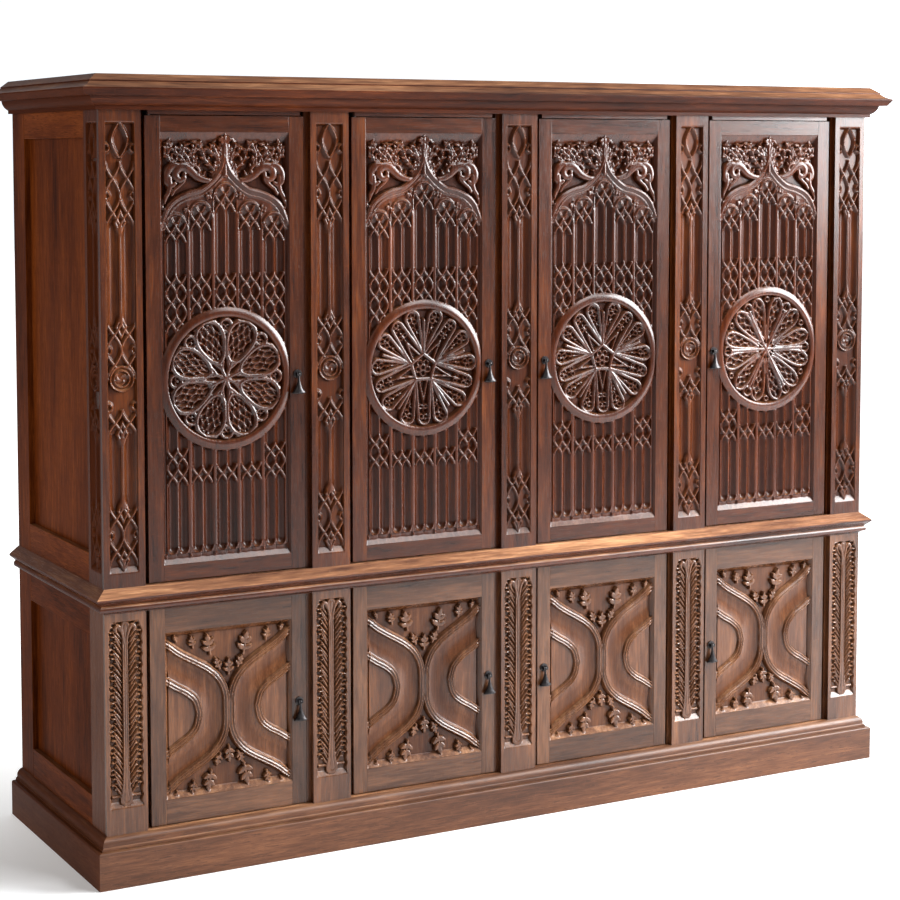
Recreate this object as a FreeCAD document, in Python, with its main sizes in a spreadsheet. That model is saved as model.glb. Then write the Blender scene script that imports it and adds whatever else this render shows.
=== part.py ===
import FreeCAD, Part
import math
import os
import re
import Sketcher

# A carved oak cupboard in two stages: a lower case with four short doors, an upper case with four
# tall doors, five carved posts to each case, a plinth, a waist moulding and a cornice.
# +Z is up and the front faces -Y. The origin is on the floor, under the middle of the whole cupboard.

Vector = FreeCAD.Vector
document = FreeCAD.newDocument("cupboard")

# Driving sizes in millimetres
SIZES = {
    "carcass_width": 2100,
    "carcass_depth": 608,
    "post_width": 96,
    "overrun": 5,
    # plinth
    "plinth_height": 84,
    "plinth_projection": 27,
    "plank_thickness": 30,
    "plank_edge_radius": 5,
    "bearer_thickness": 40,
    # moulding on top of the plinth
    "plinth_moulding_projection": 17,
    "plinth_moulding_cove": 4,
    "plinth_moulding_fillet": 5,
    "plinth_moulding_radius": 17,
    # cases
    "lower_case_height": 550,
    "upper_case_height": 1091,
    "board_thickness": 28,
    "top_board_thickness": 30,
    "partition_thickness": 24,
    "end_thickness": 30,
    "end_back_stile": 90,
    "upper_end_top_rail": 81,
    "upper_end_bottom_rail": 66,
    "lower_end_top_rail": 63,
    "lower_end_bottom_rail": 68,
    "end_panel_thickness": 12,
    "end_panel_recess": 13,
    "back_thickness": 12,
    # shelves
    "shelf_thickness": 20,
    "shelf_play": 0.5,
    "shelf_setback": 12,
    "shelf_bearer": 16,
    # posts
    "post_wing": 21,
    "post_wing_thickness": 24,
    "hinge_wing_clearance": 4,
    "corner_post_depth": 96,
    "post_recess_margin": 15,
    "post_recess_depth": 7,
    "post_base_height": 16,
    "post_head_height": 27,
    "lower_post_base": 81,
    "lower_post_head": 19,
    "post_flute_depth": 6,
    "post_ring_gap": 2,
    "post_ring_band": 5,
    # doors
    "door_recess": 11,
    "door_thickness": 26,
    "door_side_gap": 12.5,
    "door_end_gap": 2,
    "door_stop_gap": 0.5,
    "stile_width": 36,
    "upper_rail_width": 36,
    "lower_rail_width": 56,
    "hinge_arris_radius": 12,
    "groove_depth": 8,
    "groove_start": 12,
    "groove_width": 8,
    "panel_play": 0.2,
    "tongue_play": 0.5,
    # carved panels
    "panel_thickness": 22,
    "ground_depth": 14,
    "side_bevel": 12.5,
    "bottom_bevel": 20,
    "top_bevel": 23,
    "tracery_depth": 5,
    "tracery_edge_gap": 1,
    "flute_depth": 8,
    "flute_bar": 5,
    "flute_mullion": 13,
    "flute_sill_gap": 4,
    "ring_lower_gap": 49,
    "ring_upper_gap": 39,
    "arch_spring_drop": 195,
    "arch_flute_gap": 22,
    "arch_bend_drop": 115,
    "arch_apex_drop": 27,
    "arch_band": 14,
    "ring_edge_gap": 0.3,
    "ring_outer_slope": 3.5,
    "ring_inner_slope": 8,
    "ring_crest_depth": 0.5,
    "rosette_depth": 6,
    "petal_depth": 7,
    "petal_rim": 10,
    # ribs of the lower panels
    "rib_depth": 3,
    "rib_end_gap": 29,
    "rib_meeting_gap": 1.8,
    "rib_band": 13,
    # door pivots
    "pivot_inset": 13,
    "pivot_radius": 4,
    "pivot_play": 0.05,
    "pivot_reach": 11,
    "pivot_plate_length": 24,
    "pivot_plate_width": 14,
    "pivot_plate_thickness": 3,
    "pivot_plate_margin": 3,
    "socket_radius": 7,
    "socket_depth": 12,
    # pulls
    "upper_pull_height": 1111,
    "lower_pull_height": 355,
    "pull_plate_radius": 10,
    "pull_plate_thickness": 2.5,
    "pull_ear_thickness": 2.5,
    "pull_ear_width": 7,
    "pull_pin_radius": 1.6,
    "pull_pin_offset": 8,
    "pull_eye_radius": 3.6,
    "pull_eye_length": 5.4,
    "pull_eye_gap": 6,
    "pull_play": 0.06,
    "pull_length": 46,
    "pull_width": 34,
    "pull_neck": 5,
    "pull_neck_end": 12,
    "pull_thickness": 4,
    "pull_flare_radius": 60,
    "pull_foot_radius": 40,
    "pull_foot_drop": 5,
    # waist moulding
    "waist_projection": 24,
    "waist_tip": 4,
    "waist_notch": 9.5,
    "waist_notch_height": 20,
    "waist_arris_height": 35,
    "waist_bead": 12.5,
    "waist_bead_height": 17,
    "waist_bead_radius": 10,
    # cornice
    "cornice_projection": 51,
    "cornice_drop": 21,
    "cornice_height": 77,
    "cornice_fillet": 10,
    "cornice_ovolo_start": 8,
    "cornice_ovolo_end": 30,
    "cornice_ovolo_reach": 26,
    "cornice_ovolo_radius": 28,
    "cornice_soffit": 41,
    "cornice_arris_height": 44,
    "cornice_arris_flat": 3,
    "cornice_slope_top": 60,
    "cornice_slope_reach": 28,
    "cornice_slope_radius": 42,
    "cornice_step": 3,
    "cornice_top_reach": 9,
    "cornice_inner": 30,
    "cornice_rebate": 12,
    "cornice_board_thickness": 22,
}

# Counts
BAYS = 4
BEARERS = 3
BACK_BOARDS_PER_BAY = 3
PAIRS = 5

# Shares: heights on a post as shares of its height, and carved forms as shares of what carries them
SHARES = {
    "post_ring_share": 0.433,
    "post_low_flute_bottom_share": 0.161,
    "post_low_flute_top_share": 0.307,
    "post_high_flute_bottom_share": 0.545,
    "post_high_flute_top_share": 0.751,
    "flute_arch_share": 0.74,
    "ring_height_share": 0.4263,
    "arch_bend_share": 0.535,
    "arch_lower_share": 0.86,
    "arch_upper_share": 0.93,
    "petal_start_share": 0.155,
    "wide_petal_arc_share": 0.55,
    "middle_petal_arc_share": 0.69,
    "narrow_petal_arc_share": 0.87,
    "inner_rib_share": 0.425,
}

# Sizes that follow from the driving ones, as formulas in the same names
FOLLOWS = {
    "half_width": "carcass_width / 2",
    "front_plane": "0 - (carcass_depth - cornice_projection) / 2",
    "bay_pitch": "(carcass_width - post_width) / %d" % BAYS,
    "first_post": "post_width / 2 - half_width",
    "stop_plane": "door_recess + door_thickness + door_stop_gap",
    "behind_posts": "stop_plane + post_wing_thickness",
    "post_recess_half": "post_width / 2 - post_recess_margin",
    "post_flute_width": "post_recess_half * 2 / 3",
    "post_ring_radius": "post_recess_half - post_ring_gap",
    "inner_back": "carcass_depth - back_thickness",
    "lower_floor": "plinth_height + board_thickness",
    "lower_top": "plinth_height + lower_case_height",
    "lower_ceiling": "lower_top - board_thickness",
    "upper_floor": "lower_top + board_thickness",
    "upper_top": "lower_top + upper_case_height",
    "upper_ceiling": "upper_top - top_board_thickness",
    "door_width": "bay_pitch - post_width - 2 * door_side_gap",
    "sight_width": "door_width - 2 * stile_width",
    "panel_half": "sight_width / 2 - panel_play",
    "field_half": "panel_half - side_bevel",
    "groove_end": "groove_start + groove_width",
    "cornice_base": "upper_top - cornice_drop",
    "cornice_top": "cornice_base + cornice_height - cornice_board_thickness",
    "tracery_half": "field_half - tracery_edge_gap",
    "upper_sight": "upper_ceiling - upper_floor - 2 * door_end_gap - 2 * upper_rail_width",
    "lower_sight": "lower_ceiling - lower_floor - 2 * door_end_gap - 2 * lower_rail_width",
    "pair_spacing": "2 * tracery_half / %d" % PAIRS,
    "flute_width": "(pair_spacing - flute_mullion - flute_bar) / 2",
    "ring_height": "upper_sight * ring_height_share",
    "ring_outer_radius": "panel_half - ring_edge_gap",
    "ring_crest_radius": "ring_outer_radius - ring_outer_slope",
    "ring_inner_radius": "ring_crest_radius - ring_inner_slope",
    "lower_flute_bottom": "bottom_bevel + flute_sill_gap",
    "lower_flute_top": "ring_height - ring_outer_radius - ring_lower_gap",
    "upper_flute_bottom": "ring_height + ring_outer_radius + ring_upper_gap",
    "upper_flute_top": "arch_spring_height - arch_flute_gap",
    "arch_spring_height": "upper_sight - arch_spring_drop",
    "arch_bend_height": "upper_sight - arch_bend_drop",
    "arch_apex_height": "upper_sight - arch_apex_drop",
    "arch_bend_offset": "tracery_half * arch_bend_share",
    "arch_lower_radius": "tracery_half * arch_lower_share",
    "arch_upper_radius": "tracery_half * arch_upper_share",
    "petal_start": "ring_inner_radius * petal_start_share",
    "petal_end": "ring_inner_radius - petal_rim",
    "rib_outer_half": "lower_sight / 2 - rib_end_gap",
    "rib_outer_reach": "field_half - rib_meeting_gap",
    "rib_outer_radius": "(rib_outer_half^2 + rib_outer_reach^2) / (2 * rib_outer_reach)",
    "rib_inner_half": "rib_outer_half * inner_rib_share",
    "rib_inner_reach": "field_half * inner_rib_share",
    "rib_inner_radius": "(rib_inner_half^2 + rib_inner_reach^2) / (2 * rib_inner_reach)",
}

sheet = document.addObject("Spreadsheet::Sheet", "dims")
for row, (alias, number) in enumerate(SIZES.items(), start=1):
    sheet.set("A%d" % row, alias)
    sheet.set("B%d" % row, str(number))
    sheet.setAlias("B%d" % row, alias)
document.recompute()

cutting_features = []


def formula(text):
    # Turns plain names into references to the sheet, and opens up the names that follow from them
    def replace(match):
        word = match.group(0)
        if word in SIZES:
            return "dims." + word
        if word in SHARES:
            return str(SHARES[word])
        if word in FOLLOWS:
            return "(" + formula(FOLLOWS[word]) + ")"
        raise ValueError("unknown size " + word)
    return re.sub(r"[a-z][a-z_]*", replace, text)


def number(text):
    return float(sheet.evalExpression(formula(text)))


def tie(item, prop, text):
    item.setExpression(prop, formula(text))


def place(item, x, y, z):
    # y is counted backwards from the front faces of the posts
    tie(item, "Placement.Base.x", x)
    tie(item, "Placement.Base.y", "front_plane + " + y)
    tie(item, "Placement.Base.z", z)


def mirrored(side, text):
    return "%d * (%s)" % (side, text)


# Primitives, groups and booleans

def box(name, x, y, z, length, width, height):
    item = document.addObject("Part::Box", name)
    item.Label = name
    tie(item, "Length", length)
    tie(item, "Width", width)
    tie(item, "Height", height)
    place(item, x, y, z)
    return item


def cylinder(name, x, y, z, radius, height):
    item = document.addObject("Part::Cylinder", name)
    item.Label = name
    tie(item, "Radius", radius)
    tie(item, "Height", height)
    place(item, x, y, z)
    return item


def group(name, members):
    item = document.addObject("Part::Compound", name)
    item.Label = name
    item.Links = members
    return item


def fuse(name, members):
    item = document.addObject("Part::MultiFuse", name)
    item.Label = name
    item.Shapes = members
    return item


def cut(name, base, tool):
    item = document.addObject("Part::Cut", name)
    item.Label = name
    item.Base = base
    item.Tool = tool
    cutting_features.append((item, base))
    return item


# Bodies, sketches and their features

def new_body(name, x, y, z):
    body = document.addObject("PartDesign::Body", name)
    body.Label = name
    place(body, x, y, z)
    return body


def new_sketch(body, name, role, right="0", up="0", out="0"):
    sketch = body.newObject("Sketcher::SketchObject", name)
    planes = [item for item in body.Origin.OriginFeatures if item.Role == role]
    sketch.AttachmentSupport = [(planes[0], "")]
    sketch.MapMode = "FlatFace"
    tie(sketch, "AttachmentOffset.Base.x", right)
    tie(sketch, "AttachmentOffset.Base.y", up)
    tie(sketch, "AttachmentOffset.Base.z", out)
    return sketch


def arc_between(start, end, radius, side):
    # The short arc from start to end, with its centre on the left of the way (side 1) or the right (-1)
    chord = end.sub(start)
    rise = math.sqrt(max(radius ** 2 - (chord.Length / 2) ** 2, 0))
    left = Vector(-chord.y, chord.x, 0).normalize()
    centre = start.add(end).multiply(0.5).add(left.multiply(side * rise))
    angles = [math.atan2(point.y - centre.y, point.x - centre.x) for point in (start, end)]
    if side < 0:
        angles.reverse()
    return Part.ArcOfCircle(Part.Circle(centre, Vector(0, 0, 1), radius), angles[0], angles[1])


def tie_point(sketch, geometry, vertex, x, y):
    # Holds a point at x and y from the sketch's origin, each given as a formula
    for kind, axis, text in (("DistanceX", -2, x), ("DistanceY", -1, y)):
        if text == "0":
            sketch.addConstraint(Sketcher.Constraint("PointOnObject", geometry, vertex, axis))
        else:
            index = sketch.addConstraint(
                Sketcher.Constraint(kind, -1, 1, geometry, vertex, number(text)))
            tie(sketch, "Constraints[%d]" % index, text)


def outline(sketch, points, arcs=None):
    # A closed outline through points; arcs gives the radius and side of the edge after a point
    arcs = arcs or {}
    first = sketch.GeometryCount
    places = [Vector(number(x), number(y), 0) for x, y in points]
    ends = []
    for index, start in enumerate(places):
        end = places[(index + 1) % len(places)]
        if index in arcs:
            radius, side = arcs[index]
            sketch.addGeometry(arc_between(start, end, number(radius), side))
            ends.append((1, 2) if side > 0 else (2, 1))
        else:
            sketch.addGeometry(Part.LineSegment(start, end))
            ends.append((1, 2))
    for index in range(len(places)):
        before = index - 1 if index else len(places) - 1
        sketch.addConstraint(Sketcher.Constraint(
            "Coincident", first + before, ends[before][1], first + index, ends[index][0]))
        tie_point(sketch, first + index, ends[index][0], points[index][0], points[index][1])
    for index, (radius, side) in arcs.items():
        constraint = sketch.addConstraint(
            Sketcher.Constraint("Radius", first + index, number(radius)))
        tie(sketch, "Constraints[%d]" % constraint, radius)


def rectangle(sketch, left, bottom, right, top):
    outline(sketch, [(left, bottom), (right, bottom), (right, top), (left, top)])


def circle(sketch, x, y, radius):
    geometry = sketch.addGeometry(
        Part.Circle(Vector(number(x), number(y), 0), Vector(0, 0, 1), number(radius)))
    tie_point(sketch, geometry, 3, x, y)
    constraint = sketch.addConstraint(Sketcher.Constraint("Radius", geometry, number(radius)))
    tie(sketch, "Constraints[%d]" % constraint, radius)


def lancet(sketch, middle, bottom, top, width):
    # A flute with a pointed arch for its head and a plain pointed foot
    left = "%s - %s / 2" % (middle, width)
    right = "%s + %s / 2" % (middle, width)
    low = "%s + %s / 2" % (bottom, width)
    high = "%s - %s" % (top, width)
    radius = "%s * flute_arch_share" % width
    outline(sketch,
            [(middle, bottom), (right, low), (right, high), (middle, top), (left, high), (left, low)],
            {2: (radius, 1), 3: (radius, 1)})


def pad(body, name, sketch, length, backwards=False):
    feature = body.newObject("PartDesign::Pad", name)
    feature.Profile = sketch
    tie(feature, "Length", length)
    feature.Reversed = backwards
    body.Tip = feature
    return feature


def pocket(body, name, sketch, length, backwards=False):
    base = body.Tip
    feature = body.newObject("PartDesign::Pocket", name)
    feature.Profile = sketch
    tie(feature, "Length", length)
    feature.Reversed = backwards
    body.Tip = feature
    cutting_features.append((feature, base))
    return feature


# Mouldings: a front length and two returns, mitred at the corners

def mitred_run(name, profile, arcs, bottom, height, reach, inner):
    # profile gives points as (distance out from the case, height above the bottom)
    outer_more = "(%s + overrun)" % reach
    inner_more = "(%s + overrun)" % inner
    members = []

    front = new_body(name + "_front", "0", "0", bottom)
    section = new_sketch(front, name + "_front_section", "YZ_Plane",
                         out="0 - half_width - %s" % reach)
    outline(section, [("0 - (%s)" % out, up) for out, up in profile],
            {index: (radius, -side) for index, (radius, side) in arcs.items()})
    pad(front, name + "_front_pad", section, "carcass_width + 2 * %s" % reach)
    waste = new_sketch(front, name + "_front_mitres", "XY_Plane", out="0 - overrun")
    for side in (-1, 1):
        outline(waste, [
            (mirrored(side, "half_width - " + inner_more), inner_more),
            (mirrored(side, "half_width + " + outer_more), "0 - " + outer_more),
            (mirrored(side, "half_width + " + outer_more), inner_more),
        ])
    pocket(front, name + "_front_mitre_cut", waste, "%s + 2 * overrun" % height, True)
    members.append(front)

    for side, end in ((-1, "left"), (1, "right")):
        label = "%s_%s" % (name, end)
        piece = new_body(label, "0", "0", bottom)
        section = new_sketch(piece, label + "_section", "XZ_Plane", out=reach)
        outline(section, [(mirrored(side, "half_width + " + out), up) for out, up in profile],
                {index: (radius, side * turn) for index, (radius, turn) in arcs.items()})
        pad(piece, label + "_pad", section, "carcass_depth + " + reach, True)
        waste = new_sketch(piece, label + "_mitre", "XY_Plane", out="0 - overrun")
        outline(waste, [
            (mirrored(side, "half_width + " + outer_more), "0 - " + outer_more),
            (mirrored(side, "half_width - " + inner_more), inner_more),
            (mirrored(side, "half_width - " + inner_more), "0 - " + outer_more),
        ])
        pocket(piece, label + "_mitre_cut", waste, "%s + 2 * overrun" % height, True)
        members.append(piece)
    return members


def plinth():
    inside = "plank_thickness - plinth_projection"
    profile = [
        (mirrored(-1, inside), "0"),
        ("plinth_projection", "0"),
        ("plinth_projection", "plinth_height - plank_edge_radius"),
        ("plinth_projection - plank_edge_radius", "plinth_height"),
        (mirrored(-1, inside), "plinth_height"),
    ]
    members = mitred_run("plinth_plank", profile, {2: ("plank_edge_radius", 1)},
                         "0", "plinth_height", "plinth_projection", "(%s)" % inside)
    clear = "half_width - (%s)" % inside
    members.append(box("plinth_plank_back", "0 - (%s)" % clear, "carcass_depth - plank_thickness", "0",
                       "2 * (%s)" % clear, "plank_thickness", "plinth_height"))
    for index in range(BEARERS):
        middle = "first_post + %d * bay_pitch" % (index + 1)
        members.append(box("plinth_bearer_%d" % (index + 1), middle + " - bearer_thickness / 2",
                           inside, "0", "bearer_thickness",
                           "carcass_depth - plank_thickness - (%s)" % inside, "plinth_height"))
    group("plinth_frame", members)


def plinth_moulding():
    # A rounded shoulder over a shallow neck and a fillet
    shoulder = "plinth_moulding_projection - plinth_moulding_cove"
    profile = [
        ("0", "0"),
        ("plinth_moulding_projection", "0"),
        ("plinth_moulding_projection", "plinth_moulding_fillet"),
        (shoulder, "plinth_moulding_fillet + plinth_moulding_cove"),
        ("0", "board_thickness"),
    ]
    arcs = {2: ("plinth_moulding_cove", -1), 3: ("plinth_moulding_radius", 1)}
    group("plinth_moulding", mitred_run("plinth_moulding", profile, arcs, "plinth_height",
                                        "board_thickness", "plinth_moulding_projection", "0"))


def waist_moulding():
    # A bead, a notch and a sloped weathering that ends in a blunt nose
    profile = [
        ("0", "0"),
        ("waist_bead", "waist_bead_height - waist_bead_radius"),
        ("waist_notch", "waist_notch_height"),
        ("waist_projection", "waist_arris_height - waist_tip / 2"),
        ("waist_projection", "waist_arris_height + waist_tip / 2"),
        ("0", "2 * board_thickness"),
    ]
    arcs = {0: ("waist_bead_height", -1), 1: ("waist_bead_radius", 1)}
    group("waist_moulding", mitred_run("waist_moulding", profile, arcs, "lower_ceiling",
                                       "2 * board_thickness", "waist_projection", "0"))


def cornice():
    # Fillet, ovolo, soffit, splayed fascia, hollowed weathering and a thin top step
    step_height = "cornice_slope_top + cornice_step"
    top_height = "cornice_height - cornice_board_thickness"
    profile = [
        ("0", "0"),
        ("cornice_fillet", "0"),
        ("cornice_fillet", "cornice_ovolo_start"),
        ("cornice_ovolo_reach", "cornice_ovolo_end"),
        ("cornice_soffit", "cornice_ovolo_end"),
        ("cornice_projection", "cornice_arris_height"),
        ("cornice_projection", "cornice_arris_height + cornice_arris_flat"),
        ("cornice_slope_reach", "cornice_slope_top"),
        ("cornice_slope_reach", step_height),
        ("cornice_top_reach", "cornice_height"),
        (mirrored(-1, "cornice_inner - cornice_rebate"), "cornice_height"),
        (mirrored(-1, "cornice_inner - cornice_rebate"), top_height),
        (mirrored(-1, "cornice_inner"), top_height),
        (mirrored(-1, "cornice_inner"), "cornice_drop"),
        ("0", "cornice_drop"),
    ]
    arcs = {2: ("cornice_ovolo_radius", 1), 6: ("cornice_slope_radius", -1)}
    group("cornice_moulding", mitred_run("cornice_moulding", profile, arcs, "cornice_base",
                                         "cornice_height", "cornice_projection", "cornice_inner"))
    opening = "half_width - cornice_inner + cornice_rebate"
    box("cornice_top_board", "0 - (%s)" % opening, "cornice_inner - cornice_rebate",
        "cornice_top", "2 * (%s)" % opening,
        "carcass_depth - cornice_inner + cornice_rebate", "cornice_board_thickness")


# Boards of the cases

def pivot_places():
    # The pivot axis of each door: its hinge side, and its place across the cupboard
    places = []
    for bay in range(BAYS):
        side = -1 if bay < BAYS / 2 else 1
        middle = "first_post + %d * bay_pitch" % bay + " + bay_pitch / 2"
        places.append((side, middle, middle + " + " + mirrored(side, "door_width / 2 - pivot_inset")))
    return places


def board_with_sockets(name, bottom, thickness, faces, points=None):
    # A horizontal board with a blind hole over or under each door's pivot
    body = new_body(name, "0", "0", bottom)
    plan = new_sketch(body, name + "_plan", "XY_Plane")
    if points:
        outline(plan, points)
    else:
        rectangle(plan, "0 - half_width", "0", "half_width", "carcass_depth")
    pad(body, name + "_pad", plan, thickness)
    for face in faces:
        holes = new_sketch(body, "%s_%s_holes" % (name, face), "XY_Plane",
                           out=thickness if face == "top" else "0")
        for side, middle, axis in pivot_places():
            circle(holes, axis, "door_recess + door_thickness / 2", "socket_radius")
        pocket(body, "%s_%s_sockets" % (name, face), holes, "socket_depth", face == "bottom")
    return body


def upper_top_board():
    # Notched round the five posts, and let in between the two ends
    inside = "half_width - end_thickness"
    notch = "post_width / 2 + post_wing"
    points = [("0 - (%s)" % inside, "inner_back"), ("0 - (%s)" % inside, "corner_post_depth"),
              ("first_post + " + notch, "corner_post_depth")]
    for bay in range(BAYS):
        left = "first_post + %d * bay_pitch + %s" % (bay, notch)
        right = "first_post + %d * bay_pitch - (%s)" % (bay + 1, notch)
        if bay:
            points.append((left, "behind_posts"))
        points.append((left, "door_recess"))
        points.append((right, "door_recess"))
        if bay < BAYS - 1:
            points.append((right, "behind_posts"))
    points += [("0 - (first_post + %s)" % notch, "corner_post_depth"), (inside, "corner_post_depth"),
               (inside, "inner_back")]
    board_with_sockets("upper_top_board", "upper_ceiling", "top_board_thickness", ["bottom"], points)


def boards():
    board_with_sockets("lower_bottom_board", "plinth_height", "board_thickness", ["top"])
    board_with_sockets("lower_top_board", "lower_ceiling", "board_thickness", ["bottom"])
    board_with_sockets("upper_bottom_board", "lower_top", "board_thickness", ["top"])
    upper_top_board()


def end_frame(name, side, floor, ceiling, bottom_rail, top_rail):
    # Back stile, two rails and a panel that all meet in one groove; the front stile is the corner post
    outer = mirrored(side, "half_width")
    sight_bottom = "%s + %s" % (floor, bottom_rail)
    sight_top = "%s - %s" % (ceiling, top_rail)
    rail_depth = "carcass_depth - corner_post_depth - end_back_stile"

    def across(out, thickness):
        # The lower corner, along X, of something that lies out millimetres in from the end's face
        if side < 0:
            return "%s + %s" % (outer, out)
        return "%s - %s - %s" % (outer, out, thickness)

    groove = box(name + "_groove", across("end_panel_recess", "end_panel_thickness"),
                 "corner_post_depth - groove_depth", "%s - groove_depth" % sight_bottom,
                 "end_panel_thickness", "%s + 2 * groove_depth" % rail_depth,
                 "%s - (%s) + 2 * groove_depth" % (sight_top, sight_bottom))
    members = []
    edge = across("0", "end_thickness")
    stile = box(name + "_back_stile_blank", edge, "carcass_depth - end_back_stile", floor,
                "end_thickness", "end_back_stile", "%s - (%s)" % (ceiling, floor))
    members.append(cut(name + "_back_stile", stile, groove))
    for label, low, height in (("bottom_rail", floor, bottom_rail), ("top_rail", sight_top, top_rail)):
        rail = box("%s_%s_blank" % (name, label), edge, "corner_post_depth", low,
                   "end_thickness", rail_depth, height)
        members.append(cut("%s_%s" % (name, label), rail, groove))
    members.append(box(name + "_panel", across("end_panel_recess", "end_panel_thickness"),
                       "corner_post_depth - groove_depth + tongue_play",
                       "%s - groove_depth + tongue_play" % sight_bottom, "end_panel_thickness",
                       "%s + 2 * groove_depth - 2 * tongue_play" % rail_depth,
                       "%s - (%s) + 2 * groove_depth - 2 * tongue_play" % (sight_top, sight_bottom)))
    group(name, members)


def partitions_and_backs():
    members = []
    for tier, floor, ceiling in (("lower", "lower_floor", "lower_ceiling"),
                                 ("upper", "upper_floor", "upper_ceiling")):
        height = "%s - (%s)" % (ceiling, floor)
        for index in range(1, BAYS):
            middle = "first_post + %d * bay_pitch" % index
            members.append(box("%s_partition_%d" % (tier, index),
                               middle + " - partition_thickness / 2", "behind_posts", floor,
                               "partition_thickness", "inner_back - behind_posts", height))
        boards_across = BAYS * BACK_BOARDS_PER_BAY
        inside = "(half_width - end_thickness)"
        width = "2 * %s / %d" % (inside, boards_across)
        rise = height if tier == "lower" else "cornice_top - (%s)" % floor
        back = [box("%s_back_board_%d" % (tier, index + 1), "%d * %s - %s" % (index, width, inside),
                    "inner_back", floor, width, "back_thickness", rise)
                for index in range(boards_across)]
        group(tier + "_back", back)
    group("partitions", members)


def shelves():
    # One shelf in each lower bay and two in each upper bay, each on two bearers
    members = []
    for tier, floor, ceiling, count in (("lower", "lower_floor", "lower_ceiling", 1),
                                        ("upper", "upper_floor", "upper_ceiling", 2)):
        for bay in range(BAYS):
            left = "first_post + %d * bay_pitch + partition_thickness / 2" % bay
            right = "first_post + %d * bay_pitch - partition_thickness / 2" % (bay + 1)
            if bay == 0:
                left = "end_thickness - half_width"
            if bay == BAYS - 1:
                right = "half_width - end_thickness"
            front = "corner_post_depth + shelf_setback"
            depth = "inner_back - %s - shelf_play" % front.replace(" + ", " - ")
            for level in range(1, count + 1):
                top = "%s + (%s - (%s)) * %d / %d" % (floor, ceiling, floor, level, count + 1)
                label = "%s_shelf_%d_%d" % (tier, bay + 1, level)
                members.append(box(label, left + " + shelf_play", front, top + " - shelf_thickness",
                                   "%s - (%s) - 2 * shelf_play" % (right, left), depth,
                                   "shelf_thickness"))
                for hand, x in (("left", left), ("right", right + " - shelf_bearer")):
                    members.append(box("%s_%s_bearer" % (label, hand), x, front,
                                       top + " - shelf_thickness - shelf_bearer", "shelf_bearer",
                                       depth, "shelf_bearer"))
    group("shelves_and_bearers", members)


# Posts

def wing_front(index, side):
    # A wing stops the free edge of a door. Beside a hinged edge it stands back, as that edge turns past it
    bay = index if side > 0 else index - 1
    hinge_side = -1 if bay < BAYS / 2 else 1
    return "stop_plane + hinge_wing_clearance" if hinge_side == -side else "stop_plane"


def post(tier, index, floor, ceiling, base, head):
    # A T-shaped post: the proud carved part, and a wing behind the edge of each door beside it
    name = "%s_post_%d" % (tier, index + 1)
    body = new_body(name, "first_post + %d * bay_pitch" % index, "0", floor)
    plan = new_sketch(body, name + "_plan", "XY_Plane")
    half = "post_width / 2"
    wing = "post_width / 2 + post_wing"
    corner = {0: -1, BAYS: 1}.get(index, 0)
    if corner:
        inner_front = wing_front(index, -corner)
        points = [
            (mirrored(corner, half), "0"),
            (mirrored(-corner, half), "0"),
            (mirrored(-corner, half), inner_front),
            (mirrored(-corner, wing), inner_front),
            (mirrored(-corner, wing), "behind_posts"),
            (mirrored(corner, half + " - end_thickness"), "behind_posts"),
            (mirrored(corner, half + " - end_thickness"), "corner_post_depth"),
            (mirrored(corner, half), "corner_post_depth"),
        ]
    else:
        left_front = wing_front(index, -1)
        right_front = wing_front(index, 1)
        points = [
            ("0 - " + half, "0"), (half, "0"), (half, right_front), (wing, right_front),
            (wing, "behind_posts"), ("0 - (%s)" % wing, "behind_posts"),
            ("0 - (%s)" % wing, left_front), ("0 - " + half, left_front),
        ]
    outline(plan, points)
    height = "%s - (%s)" % (ceiling, floor)
    pad(body, name + "_pad", plan, height)
    recess = new_sketch(body, name + "_recess", "XZ_Plane")
    rectangle(recess, "0 - post_recess_half", base, "post_recess_half",
              "%s - (%s)" % (height, head))
    pocket(body, name + "_recess_cut", recess, "post_recess_depth")
    if corner:
        side_recess = new_sketch(body, name + "_side_recess", "YZ_Plane",
                                 out=mirrored(corner, half))
        rectangle(side_recess, "post_recess_margin", base,
                  "corner_post_depth - post_recess_margin", "%s - (%s)" % (height, head))
        pocket(body, name + "_side_recess_cut", side_recess, "post_recess_depth", corner < 0)
    if tier == "upper":
        for label in ("low", "high"):
            flutes = new_sketch(body, "%s_%s_flutes" % (name, label), "XZ_Plane",
                                out="0 - post_recess_depth")
            for side in (-1, 1):
                lancet(flutes, mirrored(side, "post_recess_half / 2"),
                       "(%s) * post_%s_flute_bottom_share" % (height, label),
                       "(%s) * post_%s_flute_top_share" % (height, label), "post_flute_width")
            pocket(body, "%s_%s_flutes_cut" % (name, label), flutes, "post_flute_depth")
        ring_level = "(%s) * post_ring_share" % height
        ring = new_sketch(body, name + "_ring", "XZ_Plane", out="0 - post_recess_depth")
        circle(ring, "0", ring_level, "post_ring_radius")
        circle(ring, "0", ring_level, "post_ring_radius - post_ring_band")
        pad(body, name + "_ring_pad", ring, "post_recess_depth")
    if corner:
        tool = document.getObject("%s_end_%s_groove" % (tier, "left" if corner < 0 else "right"))
        return cut(name + "_grooved", body, tool)
    return body


def posts():
    group("lower_posts", [post("lower", index, "lower_floor", "lower_ceiling",
                               "lower_post_base", "lower_post_head") for index in range(BAYS + 1)])
    group("upper_posts", [post("upper", index, "upper_floor", "upper_top", "post_base_height",
                               "cornice_drop + post_head_height") for index in range(BAYS + 1)])


# Doors

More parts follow.
